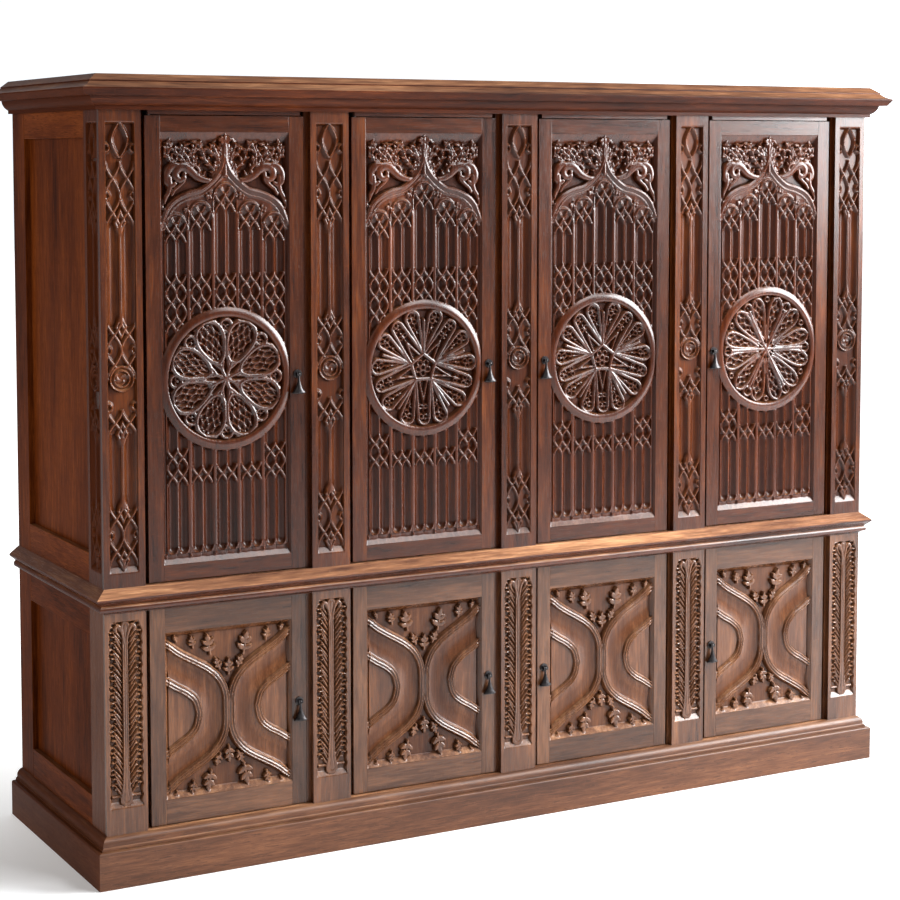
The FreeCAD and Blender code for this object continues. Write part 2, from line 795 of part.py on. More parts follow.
def stile(name, side, hinged, height, where):
    # Grooved for the panel; the hinge stile has a rounded back arris and lets in the pivot plates
    body = new_body(name, *where)
    plan = new_sketch(body, name + "_section", "XY_Plane")
    outer = mirrored(side, "door_width / 2")
    inner = mirrored(side, "sight_width / 2")
    deep = mirrored(side, "sight_width / 2 + groove_depth")
    points = [(outer, "0"), (inner, "0"), (inner, "groove_start"), (deep, "groove_start"),
              (deep, "groove_end"), (inner, "groove_end"), (inner, "door_thickness")]
    arcs = {}
    if hinged:
        points.append((mirrored(side, "door_width / 2 - hinge_arris_radius"), "door_thickness"))
        points.append((outer, "door_thickness - hinge_arris_radius"))
        arcs = {7: ("hinge_arris_radius", -side)}
    else:
        points.append((outer, "door_thickness"))
    outline(plan, points, arcs)
    pad(body, name + "_pad", plan, height)
    if hinged:
        far = "door_width / 2 - pivot_plate_margin"
        near = "door_width / 2 - pivot_plate_margin - pivot_plate_length"
        for end, level in (("bottom", "0"), ("top", height)):
            seat = new_sketch(body, "%s_%s_seat" % (name, end), "XY_Plane", out=level)
            rectangle(seat, mirrored(side, far), "(door_thickness - pivot_plate_width) / 2",
                      mirrored(side, near), "(door_thickness + pivot_plate_width) / 2")
            pocket(body, "%s_%s_seat_cut" % (name, end), seat, "pivot_plate_thickness",
                   end == "bottom")
    return body


def rail(name, end, width, height, where):
    # Grooved for the panel, with a stub tenon at each end that fills the stiles' grooves
    body = new_body(name, *where)
    section = new_sketch(body, name + "_section", "YZ_Plane", out="0 - sight_width / 2")
    tenon = new_sketch(body, name + "_tenon_section", "YZ_Plane",
                       out="tongue_play - sight_width / 2 - groove_depth")
    if end == "bottom":
        outer, inner, deep = "0", width, "%s - groove_depth" % width
    else:
        outer, inner, deep = height, "%s - %s" % (height, width), "%s - %s + groove_depth" % (height, width)
    outline(section, [("0", outer), ("0", inner), ("groove_start", inner), ("groove_start", deep),
                      ("groove_end", deep), ("groove_end", inner), ("door_thickness", inner),
                      ("door_thickness", outer)])
    pad(body, name + "_pad", section, "sight_width")
    rectangle(tenon, "groove_start", outer, "groove_end", deep)
    pad(body, name + "_tenon_pad", tenon, "sight_width + 2 * groove_depth - 2 * tongue_play")
    return body


def door_frame(name, side, height, rail_width, where):
    members = [
        stile(name + "_left_stile", -1, side < 0, height, where),
        stile(name + "_right_stile", 1, side > 0, height, where),
        rail(name + "_bottom_rail", "bottom", rail_width, height, where),
        rail(name + "_top_rail", "top", rail_width, height, where),
    ]
    group(name, members)


def panel_blank(name, height, rail_width, where):
    # The board with its tongue, sunk to the carved ground behind a sloped border.
    # z is counted from the lower edge of the part that shows
    x, y, z = where
    body = new_body(name, x, y, "%s + %s" % (z, rail_width))
    sight = "%s - 2 * %s" % (height, rail_width)
    face = new_sketch(body, name + "_face", "XZ_Plane")
    rectangle(face, "0 - panel_half", "panel_play", "panel_half", sight + " - panel_play")
    pad(body, name + "_board", face, "panel_thickness", True)
    tongue = new_sketch(body, name + "_tongue", "XZ_Plane", out="0 - groove_start - panel_play")
    reach = "groove_depth - tongue_play"
    rectangle(tongue, "0 - (sight_width / 2 + %s)" % reach, "0 - (%s)" % reach,
              "sight_width / 2 + " + reach, "%s + %s" % (sight, reach))
    pad(body, name + "_tongue_pad", tongue, "groove_width - 2 * panel_play", True)
    rim = new_sketch(body, name + "_rim", "XZ_Plane")
    rectangle(rim, "0 - panel_half", "panel_play", "panel_half", sight + " - panel_play")
    ground = new_sketch(body, name + "_ground", "XZ_Plane", out="0 - ground_depth")
    rectangle(ground, "0 - field_half", "bottom_bevel", "field_half", sight + " - top_bevel")
    base = body.Tip
    sinking = body.newObject("PartDesign::SubtractiveLoft", name + "_sinking")
    sinking.Profile = rim
    sinking.Sections = [ground]
    sinking.Ruled = True
    body.Tip = sinking
    cutting_features.append((sinking, base))
    return body, sight


def raised(body, name, draw, depth):
    # A form that stands on the carved ground and comes up to a depth below the door's face
    sketch = new_sketch(body, name, "XZ_Plane", out="0 - ground_depth")
    draw(sketch)
    return pad(body, name + "_pad", sketch, "ground_depth - " + depth)


def arch_curve(lift):
    # Half of the ogee arch, from its springing to its point, raised by lift
    return [("tracery_half", "arch_spring_height" + lift),
            ("arch_bend_offset", "arch_bend_height" + lift),
            ("0", "arch_apex_height" + lift)]


def draw_tracery_field(sketch):
    # The ground of the flutes, up to the ogee arch
    spring, bend, apex = arch_curve("")
    left = ["0 - " + point[0] for point in (bend, spring)]
    outline(sketch, [("0 - tracery_half", "bottom_bevel + tracery_edge_gap"),
                     ("tracery_half", "bottom_bevel + tracery_edge_gap"),
                     spring, bend, apex, (left[0], bend[1]), (left[1], spring[1])],
            {2: ("arch_lower_radius", 1), 3: ("arch_upper_radius", -1),
             4: ("arch_upper_radius", -1), 5: ("arch_lower_radius", 1)})


def draw_arch_band(sketch):
    # The raised ogee itself
    spring, bend, apex = arch_curve("")
    high_spring, high_bend, high_apex = arch_curve(" + arch_band")
    points = [spring, high_spring, high_bend, high_apex]
    points += [("0 - " + high_bend[0], high_bend[1]), ("0 - " + high_spring[0], high_spring[1])]
    points += [("0 - " + spring[0], spring[1]), ("0 - " + bend[0], bend[1]), apex, bend]
    outline(sketch, points,
            {1: ("arch_lower_radius", 1), 2: ("arch_upper_radius", -1),
             3: ("arch_upper_radius", -1), 4: ("arch_lower_radius", 1),
             6: ("arch_lower_radius", -1), 7: ("arch_upper_radius", 1),
             8: ("arch_upper_radius", 1), 9: ("arch_lower_radius", -1)})


def flute_rows(body, name):
    # Pairs of lancet flutes below and above the rosette
    for label, bottom, top in (("low", "lower_flute_bottom", "lower_flute_top"),
                               ("high", "upper_flute_bottom", "upper_flute_top")):
        first = "0 - %d * pair_spacing / 2" % (PAIRS - 1)
        sketch = new_sketch(body, "%s_%s_flutes" % (name, label), "XZ_Plane",
                            out="0 - tracery_depth")
        for side in (-1, 1):
            lancet(sketch, "%s + %s" % (first, mirrored(side, "(flute_width + flute_bar) / 2")),
                   bottom, top, "flute_width")
        pair = pocket(body, "%s_%s_pair" % (name, label), sketch, "flute_depth")
        row = body.newObject("PartDesign::LinearPattern", "%s_%s_row" % (name, label))
        row.Originals = [pair]
        row.Direction = (sketch, ["H_Axis"])
        tie(row, "Length", "%d * pair_spacing" % (PAIRS - 1))
        row.Occurrences = PAIRS
        body.Tip = row


def rosette(body, name, petals, petal_share):
    # A raised ring round a disc, which is pierced by a wheel of pointed petals
    def disc(sketch):
        circle(sketch, "0", "ring_height", "(ring_inner_radius + ring_crest_radius) / 2")
    clearing = new_sketch(body, name + "_clearing", "XZ_Plane")
    circle(clearing, "0", "ring_height", "ring_inner_radius")
    pocket(body, name + "_clearing_cut", clearing, "ground_depth")
    raised(body, name + "_disc", disc, "rosette_depth")
    section = new_sketch(body, name + "_ring_section", "XY_Plane", out="ring_height")
    outline(section, [("ring_inner_radius", "rosette_depth"), ("ring_crest_radius", "ring_crest_depth"),
                      ("ring_outer_radius", "tracery_depth"), ("ring_outer_radius", "ground_depth"),
                      ("ring_inner_radius", "ground_depth")])
    ring = body.newObject("PartDesign::Revolution", name + "_ring")
    ring.Profile = section
    ring.ReferenceAxis = (section, ["V_Axis"])
    ring.Angle = 360
    body.Tip = ring
    petal_arc = "ring_inner_radius * %s" % petal_share
    leaf = new_sketch(body, name + "_petal", "XZ_Plane", up="ring_height", out="0 - rosette_depth")
    outline(leaf, [("0", "petal_start"), ("0", "petal_end")],
            {0: (petal_arc, 1), 1: (petal_arc, 1)})
    single = pocket(body, name + "_petal_cut", leaf, "petal_depth")
    wheel = body.newObject("PartDesign::PolarPattern", name + "_wheel")
    wheel.Originals = [single]
    wheel.Axis = (leaf, ["N_Axis"])
    wheel.Angle = 360
    wheel.Occurrences = petals
    body.Tip = wheel


def upper_panel(name, height, petals, petal_share, where):
    body, sight = panel_blank(name, height, "upper_rail_width", where)
    raised(body, name + "_tracery", draw_tracery_field, "tracery_depth")
    raised(body, name + "_arch", draw_arch_band, "ring_crest_depth")
    flute_rows(body, name)
    rosette(body, name, petals, petal_share)


def rib(half, radius):
    # A pair of curved ribs that spring from the two sides and bend towards the middle
    def draw(sketch):
        middle = "lower_sight / 2"
        for side in (-1, 1):
            edge = mirrored(side, "field_half")
            outline(sketch,
                    [(edge, "%s - %s" % (middle, half)), (edge, "%s + %s" % (middle, half)),
                     (edge, "%s + %s - rib_band" % (middle, half)),
                     (edge, "%s - %s + rib_band" % (middle, half))],
                    {0: (radius, -side), 2: (radius + " - rib_band", side)})
    return draw


def lower_panel(name, height, where):
    body, sight = panel_blank(name, height, "lower_rail_width", where)
    raised(body, name + "_ribs", rib("rib_outer_half", "rib_outer_radius"), "rib_depth")
    raised(body, name + "_inner_ribs", rib("rib_inner_half", "rib_inner_radius"), "rib_depth")


def pivots(name, side, axis, floor, height):
    # A plate and a pin let into each end of the hinge stile
    members = []
    middle_depth = "door_recess + door_thickness / 2"
    edge = "%s + %s" % (axis, mirrored(side, "pivot_inset - pivot_plate_margin"))
    if side > 0:
        edge += " - pivot_plate_length"
    for end in ("bottom", "top"):
        if end == "bottom":
            plate_level = floor
            pin_level = "%s + pivot_plate_thickness - pivot_reach - pivot_plate_thickness" % floor
        else:
            plate_level = "%s + %s - pivot_plate_thickness" % (floor, height)
            pin_level = plate_level
        plate = box("%s_%s_plate" % (name, end), edge, middle_depth + " - pivot_plate_width / 2",
                    plate_level, "pivot_plate_length", "pivot_plate_width", "pivot_plate_thickness")
        pin = cylinder("%s_%s_pin" % (name, end), axis, middle_depth, pin_level, "pivot_radius",
                       "pivot_reach + pivot_plate_thickness")
        members.append(fuse("%s_%s_pivot" % (name, end), [plate, pin]))
    group(name, members)


def socket(name, axis, level):
    depth = "door_recess + door_thickness / 2"
    bush = cylinder(name + "_blank", axis, depth, level, "socket_radius", "socket_depth")
    bore = cylinder(name + "_bore", axis, depth, level, "pivot_radius + pivot_play", "socket_depth")
    return cut(name, bush, bore)


def pull_plate(name, x, height):
    # A round rose with two ears and the pin between them
    body = new_body(name, x, "door_recess", height)
    rose = new_sketch(body, name + "_rose", "XZ_Plane")
    circle(rose, "0", "0", "pull_plate_radius")
    pad(body, name + "_rose_pad", rose, "pull_plate_thickness")
    ears = new_sketch(body, name + "_ears", "XZ_Plane")
    for side in (-1, 1):
        rectangle(ears, mirrored(side, "pull_eye_gap / 2"), "0 - pull_ear_width / 2",
                  mirrored(side, "pull_eye_gap / 2 + pull_ear_thickness"), "pull_ear_width / 2")
    pad(body, name + "_ears_pad", ears, "pull_pin_offset + pull_ear_width / 2")
    pin = new_sketch(body, name + "_pin", "YZ_Plane", out="0 - pull_eye_gap / 2 - pull_ear_thickness")
    circle(pin, "0 - pull_pin_offset", "0", "pull_pin_radius")
    pad(body, name + "_pin_pad", pin, "pull_eye_gap + 2 * pull_ear_thickness")


def pull(name, x, height):
    # A flared drop that hangs from its eye on the pin
    body = new_body(name, x, "door_recess - pull_pin_offset", height)
    drop = new_sketch(body, name + "_drop", "XZ_Plane", out="0 - pull_thickness / 2")
    neck = "pull_neck / 2"
    foot = "pull_width / 2"
    foot_level = "pull_foot_drop - pull_length"
    outline(drop, [("0 - " + neck, "0 - pull_eye_radius / 2"), ("0 - " + neck, "0 - pull_neck_end"),
                   ("0 - " + foot, foot_level), (foot, foot_level), (neck, "0 - pull_neck_end"),
                   (neck, "0 - pull_eye_radius / 2")],
            {1: ("pull_flare_radius", -1), 2: ("pull_foot_radius", 1), 3: ("pull_flare_radius", -1)})
    pad(body, name + "_drop_pad", drop, "pull_thickness")
    eye = new_sketch(body, name + "_eye", "YZ_Plane", out="0 - pull_eye_length / 2")
    circle(eye, "0", "0", "pull_eye_radius")
    pad(body, name + "_eye_pad", eye, "pull_eye_length")
    bore = new_sketch(body, name + "_bore", "YZ_Plane",
                      out="pull_eye_length / 2 + overrun")
    circle(bore, "0", "0", "pull_pin_radius + pull_play")
    pocket(body, name + "_bore_cut", bore, "pull_eye_length + 2 * overrun")


def doors():
    wheels = ((8, "wide_petal_arc_share"), (10, "middle_petal_arc_share"),
              (10, "middle_petal_arc_share"), (12, "narrow_petal_arc_share"))
    sockets = []
    for tier, floor, ceiling, pull_height, rail_width in (
            ("lower", "lower_floor", "lower_ceiling", "lower_pull_height", "lower_rail_width"),
            ("upper", "upper_floor", "upper_ceiling", "upper_pull_height", "upper_rail_width")):
        height = "(%s - %s - 2 * door_end_gap)" % (ceiling, floor)
        bottom = "%s + door_end_gap" % floor
        for bay, (side, middle, axis) in enumerate(pivot_places()):
            name = "%s_door_%d" % (tier, bay + 1)
            where = (middle, "door_recess", bottom)
            door_frame(name + "_frame", side, height, rail_width, where)
            if tier == "upper":
                petals, petal_share = wheels[bay]
                upper_panel(name + "_panel", height, petals, petal_share, where)
            else:
                lower_panel(name + "_panel", height, where)
            pivots(name + "_pivots", side, axis, bottom, height)
            lock_stile = middle + " + " + mirrored(-side, "(door_width - stile_width) / 2")
            pull_plate(name + "_pull_plate", lock_stile, pull_height)
            pull(name + "_pull", lock_stile, pull_height)
            sockets.append(socket(name + "_bottom_socket", axis, floor + " - socket_depth"))
            sockets.append(socket(name + "_top_socket", axis, ceiling))
    group("pivot_sockets", sockets)


plinth()
plinth_moulding()
boards()
for end_side, end_name in ((-1, "left"), (1, "right")):
    end_frame("lower_end_" + end_name, end_side, "lower_floor", "lower_ceiling",
              "lower_end_bottom_rail", "lower_end_top_rail")
    end_frame("upper_end_" + end_name, end_side, "upper_floor", "upper_top",
              "upper_end_bottom_rail", "upper_end_top_rail")
partitions_and_backs()
shelves()
posts()
doors()
waist_moulding()
cornice()

NODES = ["plinth_frame", "plinth_moulding", "lower_bottom_board", "lower_top_board",
         "upper_bottom_board", "upper_top_board", "lower_end_left", "lower_end_right",
         "upper_end_left", "upper_end_right", "lower_posts", "upper_posts", "partitions",
         "lower_back", "upper_back", "shelves_and_bearers", "waist_moulding", "cornice_moulding",
         "cornice_top_board", "pivot_sockets"]
for tier in ("lower", "upper"):
    for bay in range(1, BAYS + 1):
        for piece in ("frame", "panel", "pivots", "pull_plate", "pull"):
            NODES.append("%s_door_%d_%s" % (tier, bay, piece))

document.recompute()

# Checks before anything is written
for item in document.Objects:
    if "Invalid" in item.State or "Error" in item.State:
        raise RuntimeError("%s failed: %s" % (item.Name, item.State))
for item, base in cutting_features:
    if not item.Shape.Volume < base.Shape.Volume:
        raise RuntimeError("%s takes nothing away" % item.Name)
for name in NODES:
    shape = document.getObject(name).Shape
    if shape.isNull() or not shape.isValid() or not shape.Solids:
        raise RuntimeError("%s has no valid solid" % name)

os.makedirs("parts", exist_ok=True)
for name in NODES:
    document.getObject(name).Shape.exportStep(os.path.join("parts", name + ".step"))

# Places that the joints need
for tier, pull_height in (("lower", "lower_pull_height"), ("upper", "upper_pull_height")):
    for bay, (side, middle, axis) in enumerate(pivot_places()):
        lock_stile = middle + " + " + mirrored(-side, "(door_width - stile_width) / 2")
        print("%s_door_%d" % (tier, bay + 1), "pivot at x %.3f y %.3f" % (
            number(axis), number("front_plane + door_recess + door_thickness / 2")),
            "pull pin at x %.3f y %.3f z %.3f" % (
            number(lock_stile), number("front_plane + door_recess - pull_pin_offset"),
            number(pull_height)))
print("nodes", len(NODES))
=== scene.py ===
import bmesh
import bpy
import math
import numpy as np
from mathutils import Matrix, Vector


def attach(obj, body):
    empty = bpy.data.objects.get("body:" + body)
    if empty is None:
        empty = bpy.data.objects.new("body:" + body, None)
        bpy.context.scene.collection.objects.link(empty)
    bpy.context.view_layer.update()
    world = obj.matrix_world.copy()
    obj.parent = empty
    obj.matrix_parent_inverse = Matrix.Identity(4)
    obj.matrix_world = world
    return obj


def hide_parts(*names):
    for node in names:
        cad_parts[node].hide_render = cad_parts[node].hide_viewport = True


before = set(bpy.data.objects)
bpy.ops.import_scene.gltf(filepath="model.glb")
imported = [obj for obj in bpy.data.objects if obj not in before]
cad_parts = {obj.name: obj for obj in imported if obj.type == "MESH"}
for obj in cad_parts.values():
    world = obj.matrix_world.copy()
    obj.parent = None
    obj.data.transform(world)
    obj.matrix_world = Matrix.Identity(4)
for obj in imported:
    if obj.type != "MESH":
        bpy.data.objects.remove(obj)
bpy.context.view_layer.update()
scene = bpy.context.scene

# Sizes below are in millimetres in the row frame, and become metres in the meshes
FRONT = -278.5
DOOR_FACE = FRONT + 11
DOOR_BACK = DOOR_FACE + 26
BEHIND = FRONT + 61.5
END_FRONT, END_BACK = FRONT + 96, FRONT + 608
HALF_WIDTH = 1050
POST_PITCH = 501
POST_HALF, WING_HALF = 48, 69
DOOR_HALF, SIGHT_HALF = 190, 154
PANEL_HALF = SIGHT_HALF - 0.3
UPPER_PANEL, LOWER_PANEL = (700.3, 1656.7), (170.3, 547.7)
# Behind this, only the back boards and the ends of the sides are seen
REAR_EDGE = 328.5
RING_HEIGHT = 1107.9
# Heights in front of a panel's face: its sunk ground, and far below any carving, where everything else covers it
GROUND, DEEP = -14.0, -99
# The distance between points of carving
FINE = 1.6
DOORS = (1, 2, 3, 4)


def post_middle(index):
    return (index - 2) * POST_PITCH


def door_middle(number):
    return (number - 2.5) * POST_PITCH


def unit(values):
    # Held between 0 and 1
    return np.clip(values, 0, 1)


def raise_to(h, where, level):
    # No lower than the level there
    return np.where(where, np.maximum(h, level), h)


def direction(degrees):
    return math.cos(math.radians(degrees)), math.sin(math.radians(degrees))


# Curves

def smooth(points, count=6):
    # A smooth curve through points
    p = np.asarray(points, float)
    p = np.vstack([2 * p[0] - p[1], p, 2 * p[-1] - p[-2]])
    out = []
    for k in range(1, len(p) - 2):
        for t in np.arange(count) / count:
            out.append(0.5 * (2 * p[k] + (p[k + 1] - p[k - 1]) * t
                              + (2 * p[k - 1] - 5 * p[k] + 4 * p[k + 1] - p[k + 2]) * t ** 2
                              + (3 * p[k] - p[k - 1] - 3 * p[k + 1] + p[k + 2]) * t ** 3))
    out.append(p[-2])
    return np.array(out)


def off_line(X, Z, start, end):
    # The distance from a straight line, the place along it from 0 to 1, and a number whose sign is the side of it
    dx, dz = end[0] - start[0], end[1] - start[1]
    x, z = X - start[0], Z - start[1]
    t = unit((x * dx + z * dz) / max(dx ** 2 + dz ** 2, 1e-9))
    return np.hypot(x - t * dx, z - t * dz), t, dx * z - dz * x


class Relief:
    # Heights over a grid: x across, z up, and h in front of the plane of the face

    def __init__(self, xs, zs, base):
        self.x, self.z = xs, zs
        self.X, self.Z = np.meshgrid(self.x, self.z)
        self.h = np.full(self.X.shape, float(base))

    def window(self, x0, x1, z0, z1):
        rows = slice(np.searchsorted(self.z, z0), np.searchsorted(self.z, z1, side="right"))
        cols = slice(np.searchsorted(self.x, x0), np.searchsorted(self.x, x1, side="right"))
        return rows, cols

    def stroke(self, points, profile, reach, widths=None, signed=0):
        # profile gives the height from the distance, the width there and the place along the line.
        # Signed distances are positive on the left of the way, or on its right for -1
        p = np.asarray(points, float)
        low, high = p.min(0) - reach, p.max(0) + reach
        rows, cols = self.window(low[0], high[0], low[1], high[1])
        X, Z = self.X[rows, cols], self.Z[rows, cols]
        if X.size == 0:
            return
        best = np.full(X.shape, 1e9)
        along = np.zeros(X.shape)
        turn = np.zeros(X.shape)
        for k in range(len(p) - 1):
            distance, t, turned = off_line(X, Z, p[k], p[k + 1])
            nearer = distance < best
            best = np.where(nearer, distance, best)
            along = np.where(nearer, k + t, along)
            turn = np.where(nearer, turned, turn)
        part = along / (len(p) - 1)
        width = 1.0 if widths is None else np.interp(part, np.linspace(0, 1, len(widths)), widths)
        if signed:
            best = best * np.sign(turn) * signed
        self.h[rows, cols] = np.maximum(self.h[rows, cols], profile(best, width, part))

    def dome(self, x, z, angle, length, width, top, rise=3.0, vein=0.9, point=1.0):
        # A leaf or lobe from x, z along the angle in degrees, domed, with a groove down its middle
        c, s = direction(angle)
        reach = length + width
        rows, cols = self.window(x - reach, x + reach, z - reach, z + reach)
        X, Z = self.X[rows, cols] - x, self.Z[rows, cols] - z
        a = (X * c + Z * s) / length
        b = -X * s + Z * c
        half = width * np.sin(np.pi * unit(a) ** point) ** 0.8
        f = np.abs(b) / np.maximum(half, 1e-6)
        h = top - rise * f ** 2 - 1.5 * (1 - unit(a)) - vein * np.exp(-(b / 0.9) ** 2)
        inside = (a > 0) & (a < 1) & (f < 1)
        self.h[rows, cols] = raise_to(self.h[rows, cols], inside, h)

    def domes(self, x, z, angle, *form):
        # The same dome on both sides of the middle
        self.dome(x, z, angle, *form)
        self.dome(-x, z, 180 - angle, *form)

    def both(self, points, profile, reach, widths=None, signed=0):
        for side in (-1, 1):
            self.stroke(np.multiply(points, [side, 1]), profile, reach, widths, signed * side)


def ridge(top, half, slope):
    # A narrow ridge with sloping sides
    def profile(d, width, part):
        return np.where(d < half * width + 8, top - slope * np.maximum(d - 0.25 * half * width, 0), DEEP)
    return profile


def roll(top, depth):
    # A rounded form as wide as the widths given
    def profile(d, width, part):
        return np.where(d < width, top - depth * (width - np.sqrt(np.maximum(width ** 2 - d ** 2, 0))), DEEP)
    return profile


# Upper door panels

# The lancets stand in pairs, with their heads lower towards the sides of the panel
PAIR_PITCH = 59.0
HEADS = np.array([1501.0, 1460.0, 1435.0])
LANCET_MIDDLE, LANCET_HALF, LANCET_FOOT, LANCET_DEPTH = 13.2, 11.3, 737, 8.8
# Bands across them: level, half height or wave length, and whether only the outer pairs have it
SUNK_BANDS = ((1302, 42, False), (895, 21, False), (1237, 22, True), (937, 21, True))
CROSSED_ROWS = ((1323, 42, False), (1281, 42, False), (895, 42, False), (1237, 44, True), (937, 42, True))
CROSSING_WIDTH = 11.6


def crossings(h, u, Z, level, amplitude, length, top=-4.0, slope=1.7):
    # Two wavy ridges that cross at a level, and touch the bars half a length above and below it
    phase = np.pi * (Z - level) / length
    for sign in (-1, 1):
        path = amplitude * (1 + sign * np.sin(phase))
        lean = np.sqrt(1 + (amplitude * np.pi / length * np.cos(phase)) ** 2)
        d = np.abs(u - path) / lean
        r = top - 0.45 * np.minimum(d, 1.7) - slope * np.maximum(d - 1.7, 0)
        h = raise_to(h, (np.abs(Z - level) <= length / 2) & (d < 6), r)
    return h


def raised(h, where, d, top, slope, flat):
    # Raised there to a ridge whose flat top has that half width
    return raise_to(h, where, top - slope * np.maximum(d - flat, 0))


def flute_field(X, Z):
    pair = np.clip(np.round(X / PAIR_PITCH), -2, 2)
    u = np.abs(X - PAIR_PITCH * pair)
    level = HEADS[np.abs(pair).astype(int)]
    lift = Z - level
    face = -5.0 + 0.7 * np.exp(-((u - 29.5) / 2.2) ** 2)
    face = np.where(u < 2.2, -5.0 - 0.5 * u, face)
    face = np.where((lift > -18) & (u < 26), -9.0, face)
    v = (u - LANCET_MIDDLE) / LANCET_HALF
    foot = np.clip((LANCET_FOOT - Z) / 15, 0, 1.2)
    head = np.clip(lift / 24, 0, 1.2)
    k = v ** 2 + foot ** 2 + head ** 1.5
    h = face - LANCET_DEPTH * unit(1 - k) ** 0.82 * np.where(face < -8, 0.5, 1)
    h = h + 1.2 * np.exp(-((np.sqrt(v ** 2 + foot ** 2) - 1.07) / 0.13) ** 2) * (foot > 0)
    outer = np.abs(pair) == 2
    for row, tall, outer_only in SUNK_BANDS:
        sunk = (np.abs(Z - row) < tall) & (u < 25.5) & (outer | (not outer_only))
        h = np.where(sunk, np.minimum(h, -10.5), h)
    for row, length, outer_only in CROSSED_ROWS + ((level, 43, False),):
        h = np.where(outer | (not outer_only), crossings(h, u, Z, row, CROSSING_WIDTH, length), h)
    # Horns where the wavy ridges meet again, under a small round arch over each pair
    rise = lift - 20
    d = np.abs(u - 10.5 * np.sqrt(unit(rise / 13))) / 1.25
    h = raised(h, (rise > 0) & (rise < 14) & (d < 5), d, -4.2, 1.15, 0.5)
    rise = (lift - 6) / 37
    q = np.sqrt((u / 28.5) ** 2 + np.clip(rise, 0, 2) ** 2) - 1
    d = np.abs(q) * 30
    h = np.where((rise > 0) & (q > 0), -7.5 + 1.5 * unit(q * 2), h)
    return raised(h, (rise > 0) & (d < 5), d, -3.4, 1.3, 0.5)


OGEE = [(153, 1454), (138, 1489), (117, 1510), (88, 1523), (58, 1531), (33, 1549), (14, 1570), (3.5, 1594)]
# Half widths of the rosettes' petals at places along them
WIDE_PETAL = [(37, 0), (42, 8), (49, 15.5), (58, 20.8), (70, 26), (84, 31), (98, 33.3), (110, 32.3), (120, 28.4),
              (128, 22), (133, 14), (136, 0)]
SLIM_PETAL = [(26, 0), (36, 5.0), (50, 9.0), (66, 12.6), (82, 15.8), (97, 18.2), (110, 18.8), (121, 16.4),
              (129, 11.6), (134, 5), (135.5, 0)]


def bar(d, top, half, slope=0.5):
    # A bar with two broad faces that meet in a ridge, and steep sides
    return top - slope * np.minimum(d, half) - 3.2 * np.maximum(d - half, 0)


def fold(r, th, count, offset):
    # The plane folded into half of one of so many equal sectors, one of them round the offset
    step = 2 * np.pi / count
    phi = np.abs((th - offset + step / 2) % step - step / 2)
    return r * np.cos(phi), r * np.sin(phi)


def petals(h, r, th, count, offset, shape, wave, top, half, columns):
    # Petals with small wavy bars inside them
    a, b = fold(r, th, count, offset)
    shape = np.array(shape, float)
    places = np.linspace(0, 150, 601)
    curve = np.interp(places, shape[:, 0], shape[:, 1])
    curve = np.convolve(np.pad(curve, 12, mode="edge"), np.ones(25) / 25, mode="valid")
    w = np.interp(a, places, curve)
    lean = np.sqrt(1 + np.clip(np.interp(a, places, np.gradient(curve, 0.25)), -2.5, 2.5) ** 2)
    start, end = shape[0, 0], shape[-1, 0]
    f = np.where((a > start - 2) & (a < end + 2), (b - w) / lean, 99)
    inner = np.full(r.shape, -12.5)
    for lane in range(1, columns, 2):
        for sign in (-1, 1):
            path = w / columns * (lane + sign * 0.95 * np.sin(np.pi * (a - start) / wave))
            d = np.abs(b - path) / np.sqrt(1 + (w / columns * 0.95 * np.pi / wave) ** 2 * 0.5)
            inner = np.maximum(inner, -6.6 - 0.5 * np.minimum(d, 1.3) - 1.9 * np.maximum(d - 1.3, 0))
    h = raise_to(h, (f < -1) & (w > 4), inner)
    return raise_to(h, np.abs(f) < 6, bar(np.abs(f), top, half))


def segment(h, a, b, start, end, top, half, slope=0.5):
    # A straight bar between two points of a folded sector
    distance = off_line(a, b, start, end)[0]
    return raise_to(h, distance < 8, bar(distance, top, half, slope))


def loop(h, a, b, centre, radius, top, half, slope=0.55):
    d = np.abs(np.hypot(a - centre[0], b - centre[1]) - radius)
    return raise_to(h, d < 6, bar(d, top, half, slope))


def lay(h, a, b, bars=(), rings=()):
    # Straight bars by their two ends, and rings by their centre and radius, each with its height and half width
    for each in bars:
        h = segment(h, a, b, *each)
    for each in rings:
        h = loop(h, a, b, *each)
    return h


def eight_petals(h, r, th):
    h = lay(h, *fold(r, th, 8, 0), rings=[((120, 0), 13.5, -2.4, 3.4), ((117, 5), 4.0, -6.0, 1.2)])
    h = petals(h, r, th, 8, np.pi / 8, WIDE_PETAL, 31.0, -1.4, 4.6, 4)
    return lay(h, *fold(r, th, 8, np.pi / 8), [((0, 0), (40, 0), -1.6, 4.2), ((22, 0), (48, 14), -2.0, 3.6)])


